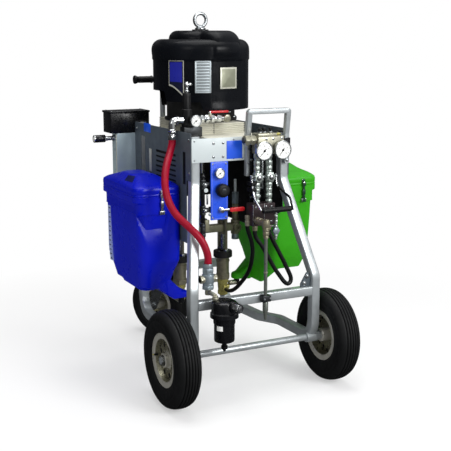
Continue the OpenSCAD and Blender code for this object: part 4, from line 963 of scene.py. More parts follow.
def hopper(side, m, colour, ear_x, moulding):
    form = Form(f"hopper_{side}_moulding", f"hopper_{side}")
    o = -RIM_OVER
    base = [(HOPPER_OUT - 51, HOPPER_Y + 126, 34), (HOPPER_OUT - 51, HOPPER_BACK - 54, 34),
            (HOPPER_IN + 20, HOPPER_MID - 40, 20), (HOPPER_IN + 20, HOPPER_MID + 72, 20)]
    rings = [
        hull_ring(base, floor_height, 12), hull_ring(base, floor_height, 5),
        hull_ring(base, lambda x: floor_height(x) + 2.5, 1.5),
        hull_ring(base, lambda x: floor_height(x) + 7),
    ]
    levels = [(14, 50, 8, 64, HOPPER_LOW + 13), (9, 22, -5, 44, HOPPER_LOW + 56), (6, 9, o, 5, KNEE),
              (0, 0, o, 0, RIM_LOW - 1.5)]
    for one, two in zip(levels, levels[1:]):
        count = max(2, round((two[4] - one[4]) / 9))
        for i in range(count):
            t = i / count
            bulge = 0.8 * sin(pi * t)
            row = walls(*[p + (q - p) * t for p, q in zip(one, two)], -bulge if one[4] > KNEE - 60 else 0)
            rings.append([recessed(v) for v in row])
    rings += [walls(*level) for level in (
        levels[-1], (-1.5, o + 0.4, o, 0, RIM_LOW), (0, o, o, 0, RIM_LOW + 4), (0, o, o, 0, LIP_LOW - 3),
        (-2, o, o, 0, LIP_LOW - 1), (o + 2, o, o, 0, LIP_LOW + 1.5), (o, o, o, 0, LIP_LOW + 4),
        (o, o, o, 0, HOPPER_TOP - 1.5), (o, o, o, 0, HOPPER_TOP, 1.5), (o, o, o, 0, HOPPER_TOP, WALL),
        (0, o, o, 0, RIM_LOW + WALL, WALL),
    )]
    for level in (levels[2], levels[1]):
        rings.append(walls(*level, WALL + (22 if level is levels[2] else WALL)))
    rings.append(hull_ring(base, lambda x: floor_height(x) + WALL, WALL + 6))
    form.add(loft(rings), colour, m @ moulding)
    # Nose over the outlet, with a black disc at the mouth of its drain boss: painted shade of the opening
    mouth = [
        (HOPPER_IN + 24, MOTOR_Y - 24, NOSE_R), (HOPPER_IN + 24, MOTOR_Y + 4, NOSE_R),
        (NOSE_X, MOTOR_Y, NOSE_R),
    ]
    nose = []
    for z, rise, start, shrink in (
        (0, 0.69, 0, 6), (1.2, 0.69, 0, 2), (5, 0.69, 0, 0), (16, 1.0, 36, 0), (22, 1.0, 36, 3),
        (25, 1.0, 36, 9),
    ):
        def slope(x):
            """Height of this level of the nose, which rises outwards."""
            return HOPPER_BOTTOM + z + rise * max(0.0, x - HOPPER_IN + start)

        nose.append(hull_ring(mouth, slope, shrink, (HOPPER_IN + 2, MOTOR_Y - 4), 96))
    form.add(loft(nose), colour, m @ moulding)
    # Translucent level strip with its marks, at the rear of the outer side
    for i in range(12):
        z0, z1 = HOPPER_LOW + 60 + 17 * i, HOPPER_LOW + 60 + 17 * (i + 1)
        lean = 6 * max(0.0, (KNEE - z0) / 60)
        strip = block((HOPPER_OUT - 12 - lean, 0, z0), (HOPPER_OUT + 0.6 - lean, 26, z1), 0.6)
        mark = block((HOPPER_OUT - 10 - lean, 2, z0 + 6), (HOPPER_OUT + 1.2 - lean, 16, z0 + 9.5), 0.2)
        strip_y = HOPPER_BACK - (48 if side == "left" else 80)
        form.add(strip, pale_scale, m @ place(0, strip_y, 0))
        form.add(mark, ink_and_painted_shade, m @ place(0, strip_y, 0))
    for x in (HOPPER_IN + 20, HOPPER_OUT - 50):
        form.add(disc(6, 30), colour, m @ to_right(x, HINGE_Y, HOPPER_TOP))
        form.add(block((x, HINGE_Y - 8, HOPPER_TOP - 14), (x + 30, HINGE_Y, HOPPER_TOP)), colour, m)
    hinge_pin = disc(3, HOPPER_OUT - HOPPER_IN - 40, 0.5)
    form.add(hinge_pin, steel, m @ to_right(HOPPER_IN + 20, HINGE_Y, HOPPER_TOP))
    for dx in (-9, 6):
        ear = block(
            (ear_x + dx, RIM_FRONT - 8, LATCH_Z - 7), (ear_x + dx + 3, RIM_FRONT + 2, LATCH_Z + 7), 0.8,
        )
        form.add(ear, steel, m)
    end_y = 2 * HOPPER_MID - MOTOR_Y if side == "left" else MOTOR_Y
    form.add(disc(11, 26), black_gloss, m @ place(NOSE_X, end_y, HOPPER_BOTTOM - 22))
    form.add(disc(10, NOSE_X - 116), nickel, m @ to_right(116, MOTOR_Y, OUTLET_Z))
    if side == "left":
        form.add(disc(10, MOTOR_Y - end_y), nickel, m @ to_back(NOSE_X, end_y, OUTLET_Z))
    form.done(42)


ROOF_CIRCLES = [
    (x, y, 24) for x in (HOPPER_OUT - 71, HOPPER_OUT - 51) for y in (HOPPER_MID - 26, HOPPER_MID + 26)
]


def lid(side, m, colour, catch_x, moulding, shadow):
    form = Form(f"lid_{side}_moulding", f"lid_{side}")
    low, o = HOPPER_TOP + 0.3, -RIM_OVER
    peak = hull_ring(ROOF_CIRCLES, ROOF)
    foot = walls(o, o, o, 0, SKIRT)

    def roof(j, t):
        """A point of the roof, from the skirt (0) to the edge of the top (1)."""
        lift = 1 - (1 - t) ** 1.25
        flare = 0.06 * sin(pi * min(1.0, 2 * t))
        p = foot[j].lerp(peak[j], max(0.0, t - flare))
        return Vector((p.x, p.y, SKIRT + (ROOF - SKIRT) * lift))

    skirt = (
        (low, 1.2), (low + 1.5, 0), (low + 5, 0), (low + 6.5, 1.2), (low + 9, 1.2), (low + 10.5, 0),
        (SKIRT - 5, 0), (SKIRT - 1.2, 1.4),
    )
    rings = [walls(o, o, o, 0, z, shrink) for z, shrink in skirt]
    rings += [[roof(j, 0.03 + 0.97 * i / 14) for j in range(RAYS)] for i in range(15)]
    rings.append(hull_ring(ROOF_CIRCLES, ROOF, 8))
    form.add(loft(rings), colour, m @ moulding)
    # Hand grip on the roof: a skin just over it in a darker copy of the lid's colour, painted shade
    # standing in for the grip's hollow
    first, last = (0.075, 0.155) if side == "left" else (0.56, 0.62)
    span = range(int(RAYS * first), int(RAYS * last))
    grip = [[roof(j, 0.36 + 0.42 * i / 6) + Vector((0, 0, 0.7)) for j in span] for i in range(7)]
    form.add(skin(grip), shadow, m @ moulding)
    inset = 50.3
    knuckle = disc(6, HOPPER_OUT - HOPPER_IN - 101)
    form.add(knuckle, colour, m @ to_right(HOPPER_IN + inset, HINGE_Y, HOPPER_TOP))
    leaf = block(
        (HOPPER_IN + inset, HINGE_Y - 14, HOPPER_TOP + 0.3), (HOPPER_OUT - inset, HINGE_Y, HOPPER_TOP + 6),
    )
    form.add(leaf, colour, m)
    catch = block(
        (catch_x - 6, RIM_FRONT - 3.5, HOPPER_TOP + 8), (catch_x + 6, RIM_FRONT + 2, HOPPER_TOP + 20),
    )
    form.add(catch, steel, m)
    form.done(42)


def latch(side, m, x, metal):
    form = Form(f"latch_{side}_toggle", f"latch_{side}")
    y, z = RIM_FRONT - 5, LATCH_Z
    form.add(disc(3, 11.4, 0.5), steel, m @ to_right(x - 5.7, y, z))
    outline = [
        (-5, 0), (5, 0), (5, 30), (3.6, 46), (3.6, 68), *arc_points((0, 74), 5, -20, 200, 8), (-3.6, 68),
        (-3.6, 46), (-5, 30),
    ]
    form.add(prism(outline, 3.2, 0.7), metal, m @ place(x, y + 1, z) @ turned(90, "X"))
    form.add(block((x - 7, y - 5, z + 52), (x + 7, y - 1.5, z + 66), 1.4), metal, m)
    form.add(block((x - 6, y - 4.4, z + 22), (x + 6, y - 1.5, z + 40), 1.2), metal, m)
    form.add(block((x - 8, y - 3, z - 6), (x + 8, y + 1, z + 7), 1.6), metal, m)
    form.add(disc(4.6, 5, 1.6), chrome, m @ to_front(x, y - 1, z + 64))
    form.done()


# ---------- gauges and fittings ----------


def screw_head(steps, *outline):
    """A round screw head, its outline given from the top down to the rim."""
    return lathe([(0, 0), *outline[::-1]], steps)


def gauge(form, r, spot, needle, numbers):
    """A dial gauge along +Z of its place: case, bezel, dial with marks and needle."""
    depth, first, sweep_angle, marks = 16, 225, 270, 27
    profile = [
        (0, 0), (r * 0.7, 0), (r * 0.86, 1.2), (r * 0.95, 4), (r, depth * 0.55), (r, depth),
        (r - 0.6, depth + 1.6), (r - 1.8, depth + 2), (r - 2.8, depth + 1.2), (r - 3, depth - 1.5),
        (0, depth - 1.5),
    ]
    form.add(lathe(profile, 56), steel, spot)
    form.add(disc(r - 3, 0.6, 0.2, 48), white, spot @ place(0, 0, depth - 1.6))
    dial = spot @ place(0, 0, depth - 0.95)
    for i in range(marks):
        a = radians(first - sweep_angle * i / (marks - 1))
        major = i % 3 == 0
        inner, outer = (r - 4) * (0.78 if major else 0.86), (r - 4) * 0.96
        wide = 0.035 * r if major else 0.018 * r
        mark = block((inner, -wide / 2, -0.1), (outer, wide / 2, 0.15), 0)
        form.add(mark, ink_and_painted_shade, dial @ Matrix.Rotation(a, 4, "Z"))
    texts, text_r = numbers.split(), (r - 4) * 0.6
    for i, text in enumerate(texts):
        a = radians(first - sweep_angle * i / (len(texts) - 1))
        form.add(figures(text, r * 0.24), ink_and_painted_shade, dial @ place(text_r * cos(a), text_r * sin(a), 0))
    point = dial @ place(0, 0, 0.8) @ turned(needle)
    reach = (r - 4) * 0.84
    pointer = prism(
        [(-0.28 * r, -0.045 * r), (reach, -0.01 * r), (reach, 0.01 * r), (-0.28 * r, 0.045 * r)], 0.5, 0,
    )
    form.add(pointer, ink_and_painted_shade, point)
    form.add(disc(0.13 * r, 1.4, 0.5, 24), ink_and_painted_shade, dial @ place(0, 0, 0.5))


def nut_row(form, material, m, *parts):
    """Fittings in a row along +Z: each part is (kind, radius, length)."""
    z = 0.0
    for kind, radius, length in parts:
        spot = m @ place(0, 0, z)
        if kind == "hex":
            form.add(hexagon(radius, length, 1.0), material, spot)
            form.add(disc(radius * 0.86, length + 0.6, 0.4), material, spot @ place(0, 0, -0.3))
        elif kind == "cone":
            profile = [(0, 0), (radius * 1.25, 0), (radius * 1.25, 1), (radius, length), (0, length)]
            form.add(lathe(profile, 32), material, spot)
        elif kind == "thread":
            turns = max(2, int(length / 1.6))
            profile = [(0, 0)]
            for i in range(turns):
                h = length / turns
                profile += [(radius - 0.8, i * h), (radius, (i + 0.5) * h)]
            form.add(lathe(profile + [(radius - 0.8, length), (0, length)], 32), material, spot)
        elif kind == "ball":
            cuts = [radians(a) for a in range(30, 151, 12)]
            shell = [(radius * sin(a), length / 2 - length / 2 * cos(a)) for a in cuts]
            form.add(lathe([(0, 0), *shell, (0, length)], 36), material, spot)
        else:
            form.add(disc(radius, length, min(1.0, length / 4)), material, spot)
        z += length


MAN_X0, MAN_X1, MAN_Z0, MAN_Z1, MAN_Y0, MAN_Y1, MAN_MID = 28, 128, 822, 892, 22, 67, 44.5
CHAINS, LEVER_Z = (36, 83), 742
BLOCK_Z0, BLOCK_Z1 = 579, 655
MIXER_X, MIXER_Y = 23, -45
PANEL_X, PANEL_W, PANEL_LOW, PANEL_TOP, PANEL_FACE = -117, 64, 600, 798, 85
KNOB_X, PANEL_VALVE_Z = -81, 634


def pressure_gauges():
    form = Form("dial_gauges", "pressure_gauges")
    for x, needle in ((41, 228), (112, 236)):
        form.add(disc(8, 8, 0.8), brass, to_front(x, MAN_Y0 + 2, 836))
        gauge(form, 31.5, to_front(x, MAN_Y0 - 6, 836), needle, "0 10 20 30 40")
    gauge(form, 18, to_front(-90, PANEL_FACE, 760), 215, "0 4 8 12")
    gauge(form, 20.5, to_front(-137, 172, 930), 215, "0 4 8 12")
    form.add(disc(6, 20, 0.6), brass, to_back(-137, 171, 930))
    form.done(35)


def manifold():
    form = Form("manifold_body", "mix_manifold")
    form.add(block((MAN_X0, MAN_Y0, MAN_Z0), (MAN_X1, MAN_Y1, MAN_Z1 - 10), 2.2, 3), nickel)
    form.add(block((MAN_X0, MAN_Y0, MAN_Z1 - 14), (100, MAN_Y1, MAN_Z1), 2.2, 3), nickel)
    left = to_right(MAN_X0 - 46, MAN_MID, 870)
    form.add(disc(11, 6, 1.5), dark_steel, left)
    nut_row(
        form, nickel, left @ place(0, 0, 5), ("hex", 18, 17), ("round", 14.5, 3), ("hex", 18, 16),
        ("round", 14, 8),
    )
    right = to_right(MAN_X1 - 29, MAN_MID, 886)
    nut_row(form, brass, right, ("hex", 5.5, 8), ("round", 4, 8), ("hex", 5.5, 6), ("round", 2, 6))
    # Screw heads, each with a dark hexagon on top: painted shade in the socket
    for x, z in ((60, 850), (60, 872), (86, 872), (120, 874)):
        form.add(disc(4.2, 1.2, 0.5, 24), chrome, to_front(x, MAN_Y0 + 0.4, z))
        form.add(hexagon(2.4, 1.9, 0.2), dark_steel, to_front(x, MAN_Y0 + 0.4, z))
    for x, r in ((46, 7), (62, 7), (86, 6)):
        form.add(disc(r + 1.4, 4), steel, place(x, MAN_MID, MAN_Z1))
        profile = [(0, 0), (r - 2, 0), (r - 2, 4), (r, 6), (r, 13), (r - 2, 15), (0, 15.5)]
        form.add(lathe(profile, 32), black, place(x, MAN_MID, MAN_Z1 + 3))
    form.done()


def fluid_valves():
    form = Form("valve_chains", "fluid_valves")
    star = [spoke(i, 16, 19 if i % 2 else 13.5) for i in range(16)]
    for x in CHAINS:
        base = place(x, MAN_MID, BLOCK_Z1)
        nut_row(
            form, chrome_dull, base, ("hex", 12.5, 9), ("round", 8.5, 7), ("hex", 12.5, 15),
            ("round", 9.5, 6), ("hex", 12, 12), ("round", 10.5, 7), ("hex", 13, 12),
        )
        form.add(prism(star, 16, 1.2), chrome_dull, to_front(x, MAN_MID - 2, LEVER_Z))
        form.add(disc(13.5, 34, 2.5), chrome_dull, place(x, MAN_MID, LEVER_Z - 17))
        form.add(disc(9, 40, 1.2), dark_steel, to_front(x, MAN_MID + 20, LEVER_Z))
        form.add(hexagon(7, 5), chrome, to_front(x, MAN_MID - 18, LEVER_Z))
        nut_row(
            form, chrome_dull, place(x, MAN_MID, LEVER_Z + 17), ("round", 10.5, 6), ("hex", 12, 14),
            ("round", 9.5, 4), ("hex", 12.5, 15), ("round", 9, 10), ("hex", 12.5, 14),
        )
    # Bypass pipe between the chains, and the solvent valve under the block
    form.add(disc(4, MAN_Z0 - BLOCK_Z1 - 46, 0.5), steel, place(60, MAN_MID + 6, BLOCK_Z1 + 46))
    form.add(disc(7, 21, 0.8), khaki, place(85, MAN_MID, BLOCK_Z0 - 21))
    form.add(hexagon(9.5, 9), khaki, place(85, MAN_MID, BLOCK_Z0 - 14))
    form.add(hexagon(10.5, 10), khaki, place(27, 40, BLOCK_Z0 - 12))
    form.add(disc(9, 10, 0.8), khaki, place(27, 40, 560))
    form.add(disc(4, 44, 0.6), steel, to_right(58, MAN_MID, BLOCK_Z0 - 10))
    hanging = place(112, MAN_MID, 0)
    nut_row(form, chrome_dull, hanging @ place(0, 0, 520), ("round", 5, 10), ("hex", 8, 8))
    lozenge = [(-14, 0), (-6, -13), (6, -13), (14, 0), (6, 13), (-6, 13)]
    form.add(prism(lozenge, 12, 1.4), blue_steel, to_front(112, MAN_MID + 6, 551))
    nut_row(
        form, chrome_dull, hanging @ place(0, 0, 562), ("hex", 8, 8), ("round", 5, 8), ("hex", 7, 10),
        ("round", 5, 8), ("hex", 7, 10), ("round", 5, 8),
    )
    form.add(disc(5, 24), chrome_dull, to_left(112, MAN_MID, 606))
    form.done()


def valve_block():
    form = Form("valve_block_body", "valve_block")
    form.add(block((8, MAN_Y0 - 2, BLOCK_Z0), (94, MAN_Y1, BLOCK_Z1), 1.6, 3), block_brown)
    for x in (9, 52):
        edge_strip = block((x - 1, MAN_Y0 - 3, BLOCK_Z0 + 2), (x + 1.2, MAN_Y0 - 1.4, BLOCK_Z1 - 2), 0.4)
        form.add(edge_strip, steel)
    # Screws on the block, each with a dark hexagon on its head: painted shade in the socket
    for x in (20, 60, 80):
        for z in (BLOCK_Z0 + 12, BLOCK_Z1 - 12):
            form.add(disc(4, 1.6, 0.5, 24), steel, to_front(x, MAN_Y0 - 1.6, z))
            form.add(hexagon(2.2, 2.2, 0.2), ink_and_painted_shade, to_front(x, MAN_Y0 - 1.6, z))
    nut_row(
        form, nickel, place(4, 50, 577), ("round", 9, 6), ("hex", 10.5, 12), ("round", 8, 6),
        ("hex", 10.5, 12),
    )
    form.add(disc(8, 10, 0.6), nickel, to_right(4, 50, 606))
    mixer = to_front(MIXER_X, MAN_Y0 - 2, 600)
    nut_row(form, khaki, mixer, ("hex", 13, 12), ("round", 9, 6), ("hex", 12, 14), ("round", 10, 33))
    form.add(disc(13, 24, 3), khaki, place(MIXER_X, MIXER_Y, 586))
    form.add(hexagon(12, 8), khaki, place(MIXER_X, MIXER_Y, 605))
    form.done()


def static_mixer():
    form = Form("mixer_tube", "static_mixer")
    base = place(MIXER_X, MIXER_Y, 0)
    profile = [
        (0, 268), (3.4, 268), (4.4, 270), (6.5, 284), (6.5, 290), (8, 291), (8, 299), (9.6, 300),
        (9.6, 328), (8.4, 330), (6, 331), (6, 556), (8, 557), (0, 557),
    ]
    form.add(lathe(profile, 40), mixer_grey, base)
    for z in (340, 430, 548):
        form.add(disc(7.2, 5, 0.9), nickel, base @ place(0, 0, z))
    form.add(hexagon(9.8, 20, 1), nickel, base @ place(0, 0, 304))
    nut_row(
        form, khaki, base @ place(0, 0, 552), ("cone", 8, 8), ("hex", 12, 12), ("round", 11, 10),
        ("hex", 12.5, 4),
    )
    clamp_z = 332
    clamp = block((MIXER_X - 16, MIXER_Y - 12, clamp_z), (MIXER_X + 16, MIXER_Y + 14, clamp_z + 22), 2)
    form.add(clamp, dark_steel)
    form.add(
        disc(3.4, 5, 0.8), steel, *[to_front(MIXER_X + x, MIXER_Y - 11, clamp_z + 11) for x in (-10, 11)],
    )
    form.done()


def mixing_lever():
    form = Form("mixing_lever_arms", "mix_lever", "zinc")
    y, z = MAN_MID, LEVER_Z
    left = bent([(14, y, z + 8), (15, y - 8, 704), (17, 24, 674), (15, -29, 640)], (20, 20))
    right = bent([(109, y, z + 8), (109, y - 6, 712), (129, -20, 676), (135, -30, 634)], (20, 20))
    form.add(disc(5, 100, 0.8), steel, to_right(14, y, z))
    form.add(sweep(left, round_section(4, 16), (1, 0, 0), True), chrome)
    form.add(sweep(right, square_section(4, 1, 2, height=8), (1, 0, 0), True), chrome)
    form.add(sweep(right[9:], square_section(5, 1.6, 2, height=9), (1, 0, 0), True), black)
    for x in (14, 109):
        form.add(hexagon(8.5, 5), steel, to_right(x - 2.5 if x > 50 else x - 1, y, z))
    form.done()
    form = Form("mixing_lever_grip", "lever_grip")
    start, stop = 19.3, 128
    length = stop - start
    outline = [(0, 0), (7, 0), (8.6, 1), (9.2, 3)]
    ribs = 14
    for i in range(ribs):
        h = 8 + (length - 16) * i / ribs
        outline += [(9.4, h), (9.4, h + 3), (8.8, h + 4), (8.8, h + 5)]
    outline += [(9.2, length - 4), (8.6, length - 1), (6, length), (0, length)]
    form.add(lathe(outline, 32), black, to_right(start, -29, 640))
    form.done(50)


def manifold_plate():
    form = Form("manifold_backplate", "manifold_plate", "black_plastic")
    plate_y = 73
    form.add(block((22, MAN_Y1, BLOCK_Z0), (104, plate_y, DECK_Z)), black_gloss)
    form.add(block((102, MAN_Y1, DECK_Z - 40), (POST_X + 9, plate_y, DECK_Z)), black_gloss)
    for x in (26, 60, 98):
        for z in (672, 700, 800):
            form.add(hexagon(4.6, 3.4, 0.5), steel, to_front(x if x != 60 else 59.5, MAN_Y1, z))
    for z in (696, 716):
        form.add(block((8, MAN_MID - 16, z), (24, MAN_Y1, z + 12), 2), black)
    form.done()


# ---------- panels and handles ----------

GATE_W, GATE_TOP, GATE_LEFT, GATE_LEAN = 18, 962, 20, 11
GATE_Y = FRONT_FACE - GATE_W / 2


def gate_handle():
    path = bent(
        [
            (GATE_LEFT, GATE_Y, 744), (GATE_LEFT, GATE_Y, DECK_Z + 14),
            (GATE_LEFT, GATE_Y - GATE_LEAN, GATE_TOP), (POST_X, GATE_Y - GATE_LEAN, GATE_TOP),
            (POST_X, GATE_Y, DECK_Z + 14), (POST_X, GATE_Y, 780),
        ],
        (30, 4, 4, 30), 6,
    )
    form = Form("gate_bar", "gate_handle", "frame_paint")
    form.add(sweep(path, square_section(GATE_W, 2.4), (0, -1, 0), True), zinc)
    for x in (GATE_LEFT, POST_X):
        for z in (790, 840):
            screw = screw_head(24, (0, 3.2), (3, 3), (5.5, 1.6), (6, 0))
            form.add(screw, steel, to_front(x, GATE_Y - 9, z))
    form.done(40)


def rear_handle():
    form = Form("push_handle_tube", "rear_handle", "frame_paint")
    y, z, half = REAR_FACE + 11, 1051, 184
    form.add(disc(10, 2 * (half - 4), 1.5), zinc, to_right(4 - half, y, z))
    form.add(disc(10, z - DECK_Z + TUBE), zinc, *[s @ place(70, y, DECK_Z - TUBE) for s in SIDES])
    form.add(block((60, REAR_FACE, DECK_Z - TUBE), (80, y, DECK_Z), 1.5), zinc, *SIDES)
    for s in SIDES:
        form.add(lathe([(9.5, 0), (12, 1.5), (12.3, 4), (10, 6)], 32), zinc, s @ place(70, y, DECK_Z - 3))
        for dz in (-24, -8):
            form.add(hexagon(5, 4), steel, s @ to_back(70, y + 9.5, DECK_Z + dz))
    form.done(40)
    form = Form("push_handle_grips", "handle_grips")
    length = half - 112
    outline = [(10.1, 0), (13.6, 0), (14.2, 1), (14.2, 3), (13, 6), (12, 8)]
    for i in range(9):
        h = 10 + (length - 28) * i / 9
        outline += [(12.2, h), (12.5, h + 2), (12.2, h + 4), (11.6, h + 5)]
    outline += [(12, length - 14), (15.6, length - 5), (15.8, length - 3), (15, length), (0, length)]
    form.add(lathe(outline), black, *[s @ to_right(112, y, z) for s in SIDES])
    form.done(50)


def side_panels():
    form = Form("side_panel_sheets", "side_panels")
    low, top, knee = 520, 896, 722 + 14
    x0, x1, y0, y1 = OUTER_X, OUTER_X + 2, FRONT_FACE, REAR_FACE
    front_cut = FRONT_Y + 21
    # The sheet is built from strips that leave its slots open
    spans = [
        ((front_cut, low), (134, top)), ((y0, knee), (front_cut, top)), ((134, low), (158, 720)),
        ((134, 830), (158, top)), ((158, low), (215, top)), ((215, low), (390, 716)),
        ((215, 814), (390, top)), ((390, low), (492, top)), ((492, low), (532, 560)),
        ((492, 850), (532, top)), ((532, low), (y1, top)),
    ]
    for (ya, za), (yb, zb) in spans:
        form.add(block((x0, ya, za), (x1, yb, zb), 0), slate, MIRROR)
    for i in range(6):
        form.add(block((x0, 215, 794.5 - 17.5 * i), (x1, 390, 805 - 17.5 * i), 0), slate, MIRROR)
    # Dark sheets just inside the slots: painted shade seen through them
    form.add(block((x0 - 4, 205, 700), (x0 - 1, 400, 825), 0), ink_and_painted_shade, MIRROR)
    form.add(block((x0 - 4, 118, 716), (x0 - 1, 162, 834), 0), ink_and_painted_shade, MIRROR)
    form.add(block((x1, 436, 868), (x1 + 0.6, 500, 900), 0.2), bright_blue, MIRROR)
    form.add(block((x1, 431, 728), (x1 + 0.6, 453, 810), 0.2), pale_plate_and_highlight, MIRROR)
    sheet = [(front_cut, 600), (330, 506), (y1, 506), (y1, top), (y0, top), (y0, knee), (front_cut, knee)]
    form.add(prism(sheet, x1 - x0, 0), slate, place(x0, 0, 0) @ turned(90, "Y") @ turned(90, "Z"))
    # A dark lining on the sheet's inner face: painted shade inside the cart
    lining = [
        (front_cut, 602), (330, 508), (y1 - TUBE, 508), (y1 - TUBE, DECK_Z - TUBE),
        (front_cut, DECK_Z - TUBE),
    ]
    form.add(prism(lining, 1, 0), ink_and_painted_shade, place(x0 - 1.2, 0, 0) @ turned(90, "Y") @ turned(90, "Z"))
    # A dark sheet across the back under the deck: painted shade inside the cart
    back_sheet = block(
        (-POST_X + HALF_TUBE, REAR_Y - 2, 600), (POST_X - HALF_TUBE, REAR_Y, DECK_Z - TUBE), 0,
    )
    form.add(back_sheet, ink_and_painted_shade)
    for y, z in ((FRONT_Y, 872), (REAR_Y, 872), (REAR_Y, 640), (FRONT_Y, 760), (REAR_Y, 545)):
        screw = screw_head(20, (0, 2.2), (2.5, 2), (4.6, 1), (5, 0))
        form.add(screw, steel, *[s @ to_right(x1, y, z) for s in SIDES])
    form.done(25)


def front_panel():
    form = Form("front_panel_sheet", "front_panel")
    y1, y0, z0, z1 = FRONT_FACE, FRONT_FACE - 3, 798, 878
    form.add(block((-OUTER_X, y0, z0), (GATE_LEFT - GATE_W / 2, y1, z1), 0.9), white_panel)
    form.done()
    form = Form("front_panel_fixings")
    for x in (-106, -70):
        for z in (814, 860):
            screw = to_front(x, y0, z)
            form.add(screw_head(24, (0, 2.4), (2.4, 2.2), (4.2, 1.2), (4.6, 0)), steel, screw)
            # A dark bar across each head: painted shade in the screw's slot
            form.add(block((-3, -0.5, 2.0), (3, 0.5, 2.5), 0), ink_and_painted_shade, screw @ turned(35))
    for x in (-176, -30, 4):
        for z in (806, 870):
            form.add(screw_head(20, (0, 1.6), (2, 1.4), (3.2, 0)), steel, to_front(x, y0, z))
    # Square blank plate at the panel's right end
    form.add(block((-57, y0 - 1.6, 805), (2, y0, 866), 0.6), bright_blue)
    form.done()


def control_panel():
    form = Form("control_panel_case", "control_panel")
    x0, w, low, face = PANEL_X, PANEL_W, PANEL_LOW, PANEL_FACE
    form.add(block((x0, face, low), (x0 + w, FRONT_FACE, PANEL_TOP), 1.4, 3), blue_panel)
    bracket = block((x0 + 8, FRONT_FACE, low + 40), (x0 + w - 8, FRONT_FACE + 3, DECK_Z - TUBE), 0.4)
    form.add(bracket, blue_panel)
    form.done()
    trim = Form("control_panel_trim")
    edge = [(x, face - 0.1, z) for x, z in round_rect(x0 + 4, x0 + w - 4, low + 4, PANEL_TOP - 4, 5)]
    trim.add(sweep(edge + edge[:2], round_section(0.5, 6), (0, -1, 0), True), pale_scale)
    for x in (x0 + 7, x0 + w - 7):
        for z in (low + 8, PANEL_TOP - 8):
            trim.add(screw_head(20, (0, 1.8), (2, 1.6), (3.4, 0)), steel, to_front(x, face, z))
    trim.done()
    form = Form("regulator_knob_fluted", "regulator_knob")
    spot = to_front(KNOB_X, face - 0.3, 702)
    flutes, steps = 24, 144
    waves = [0.5 + 0.5 * cos(flutes * tau * i / steps) for i in range(steps)]
    levels = (
        (0, 16, 0), (5.5, 16, 0), (6, 22, 0.4), (8, 23.6, 1.3), (24, 23.2, 1.3), (27.5, 21.5, 0.8),
        (29.4, 18, 0.2), (30, 14, 0),
    )
    rings = [
        [(*spoke(i, steps, r - depth * wave), z) for i, wave in enumerate(waves)] for z, r, depth in levels
    ]
    form.add(loft(rings), black, spot)
    form.add(disc(9, 1, 0.4, 32), dark_steel, spot @ place(0, 0, 29.4))
    form.done(40)
    form = Form("panel_lever_red", "panel_valve_lever")
    y = face - 12.3
    spot = to_front(KNOB_X, y, PANEL_VALVE_Z)
    form.add(disc(9, 3, 0.8), chrome, spot)
    form.add(hexagon(6.5, 6, 0.7), chrome, spot)
    arm = block((KNOB_X, y - 4.2, PANEL_VALVE_Z - 4), (KNOB_X + 41, y - 1.4, PANEL_VALVE_Z + 4), 0.8)
    form.add(arm, chrome)
    grip = prism(round_rect(0, 57, -7.4, 7.4, 7), 6.6, 2.2, 3)
    form.add(grip, red, place(KNOB_X + 27, y - 0.4, PANEL_VALVE_Z) @ turned(90, "X"))
    form.done()


def panel_piping():
    form = Form("panel_pipes", "panel_piping", "nickel")
    x, y = -140, FRONT_FACE + 10
    form.add(disc(7, 170), black_gloss, place(x, y, 590))
    nut_row(
        form, dark_steel, place(x, y, 530), ("round", 8, 14), ("hex", 11, 10), ("round", 9, 20),
        ("hex", 11, 12),
    )
    form.add(block((x + 6, y - 6, 560), (x + 22, y + 4, 600), 1.5), olive)
    for z in (PANEL_VALVE_Z, 722):
        nut_row(form, dark_steel, place(x, y, z - 16), ("hex", 11, 8), ("round", 11.5, 16), ("hex", 11, 8))
        nut_row(form, dark_steel, to_right(x, y, z), ("round", 8, 10), ("hex", 9, 8), ("round", 6.5, 17))
        nut_row(form, steel, to_front(x, y, z), ("round", 7.5, 8), ("hex", 7, 6), ("round", 6, 10))
    bracket = block((PANEL_X, FRONT_FACE, PANEL_VALVE_Z - 10), (PANEL_X + 8, y + 6, PANEL_VALVE_Z + 10))
    form.add(bracket, dark_steel)
    form.add(disc(7.5, 5, 1.6), white_panel, to_front(-138, y - 18, 705))
    form.add(disc(3, 34, 0.8), steel, place(-131, y - 16, 656))
    form.add(disc(5, 6, 2), blue_steel, to_front(-123, y - 16, 621))
    nut_row(form, chrome, to_front(KNOB_X, PANEL_FACE, PANEL_VALVE_Z), ("hex", 11, 5), ("round", 8.5, 7))
    nut_row(form, black_gloss, place(x, y, 744), ("hex", 10, 10), ("round", 7, 6))
    form.done()


# ---------- air line on the deck ----------

REG_X, REG_Y, AIR_Z = -152, 200, 932
HOSE_X, HOSE_Y, VALVE_X = -211, 190, -64
TEE_X, TEE_Y, TEE_Z = -176, -12, 426


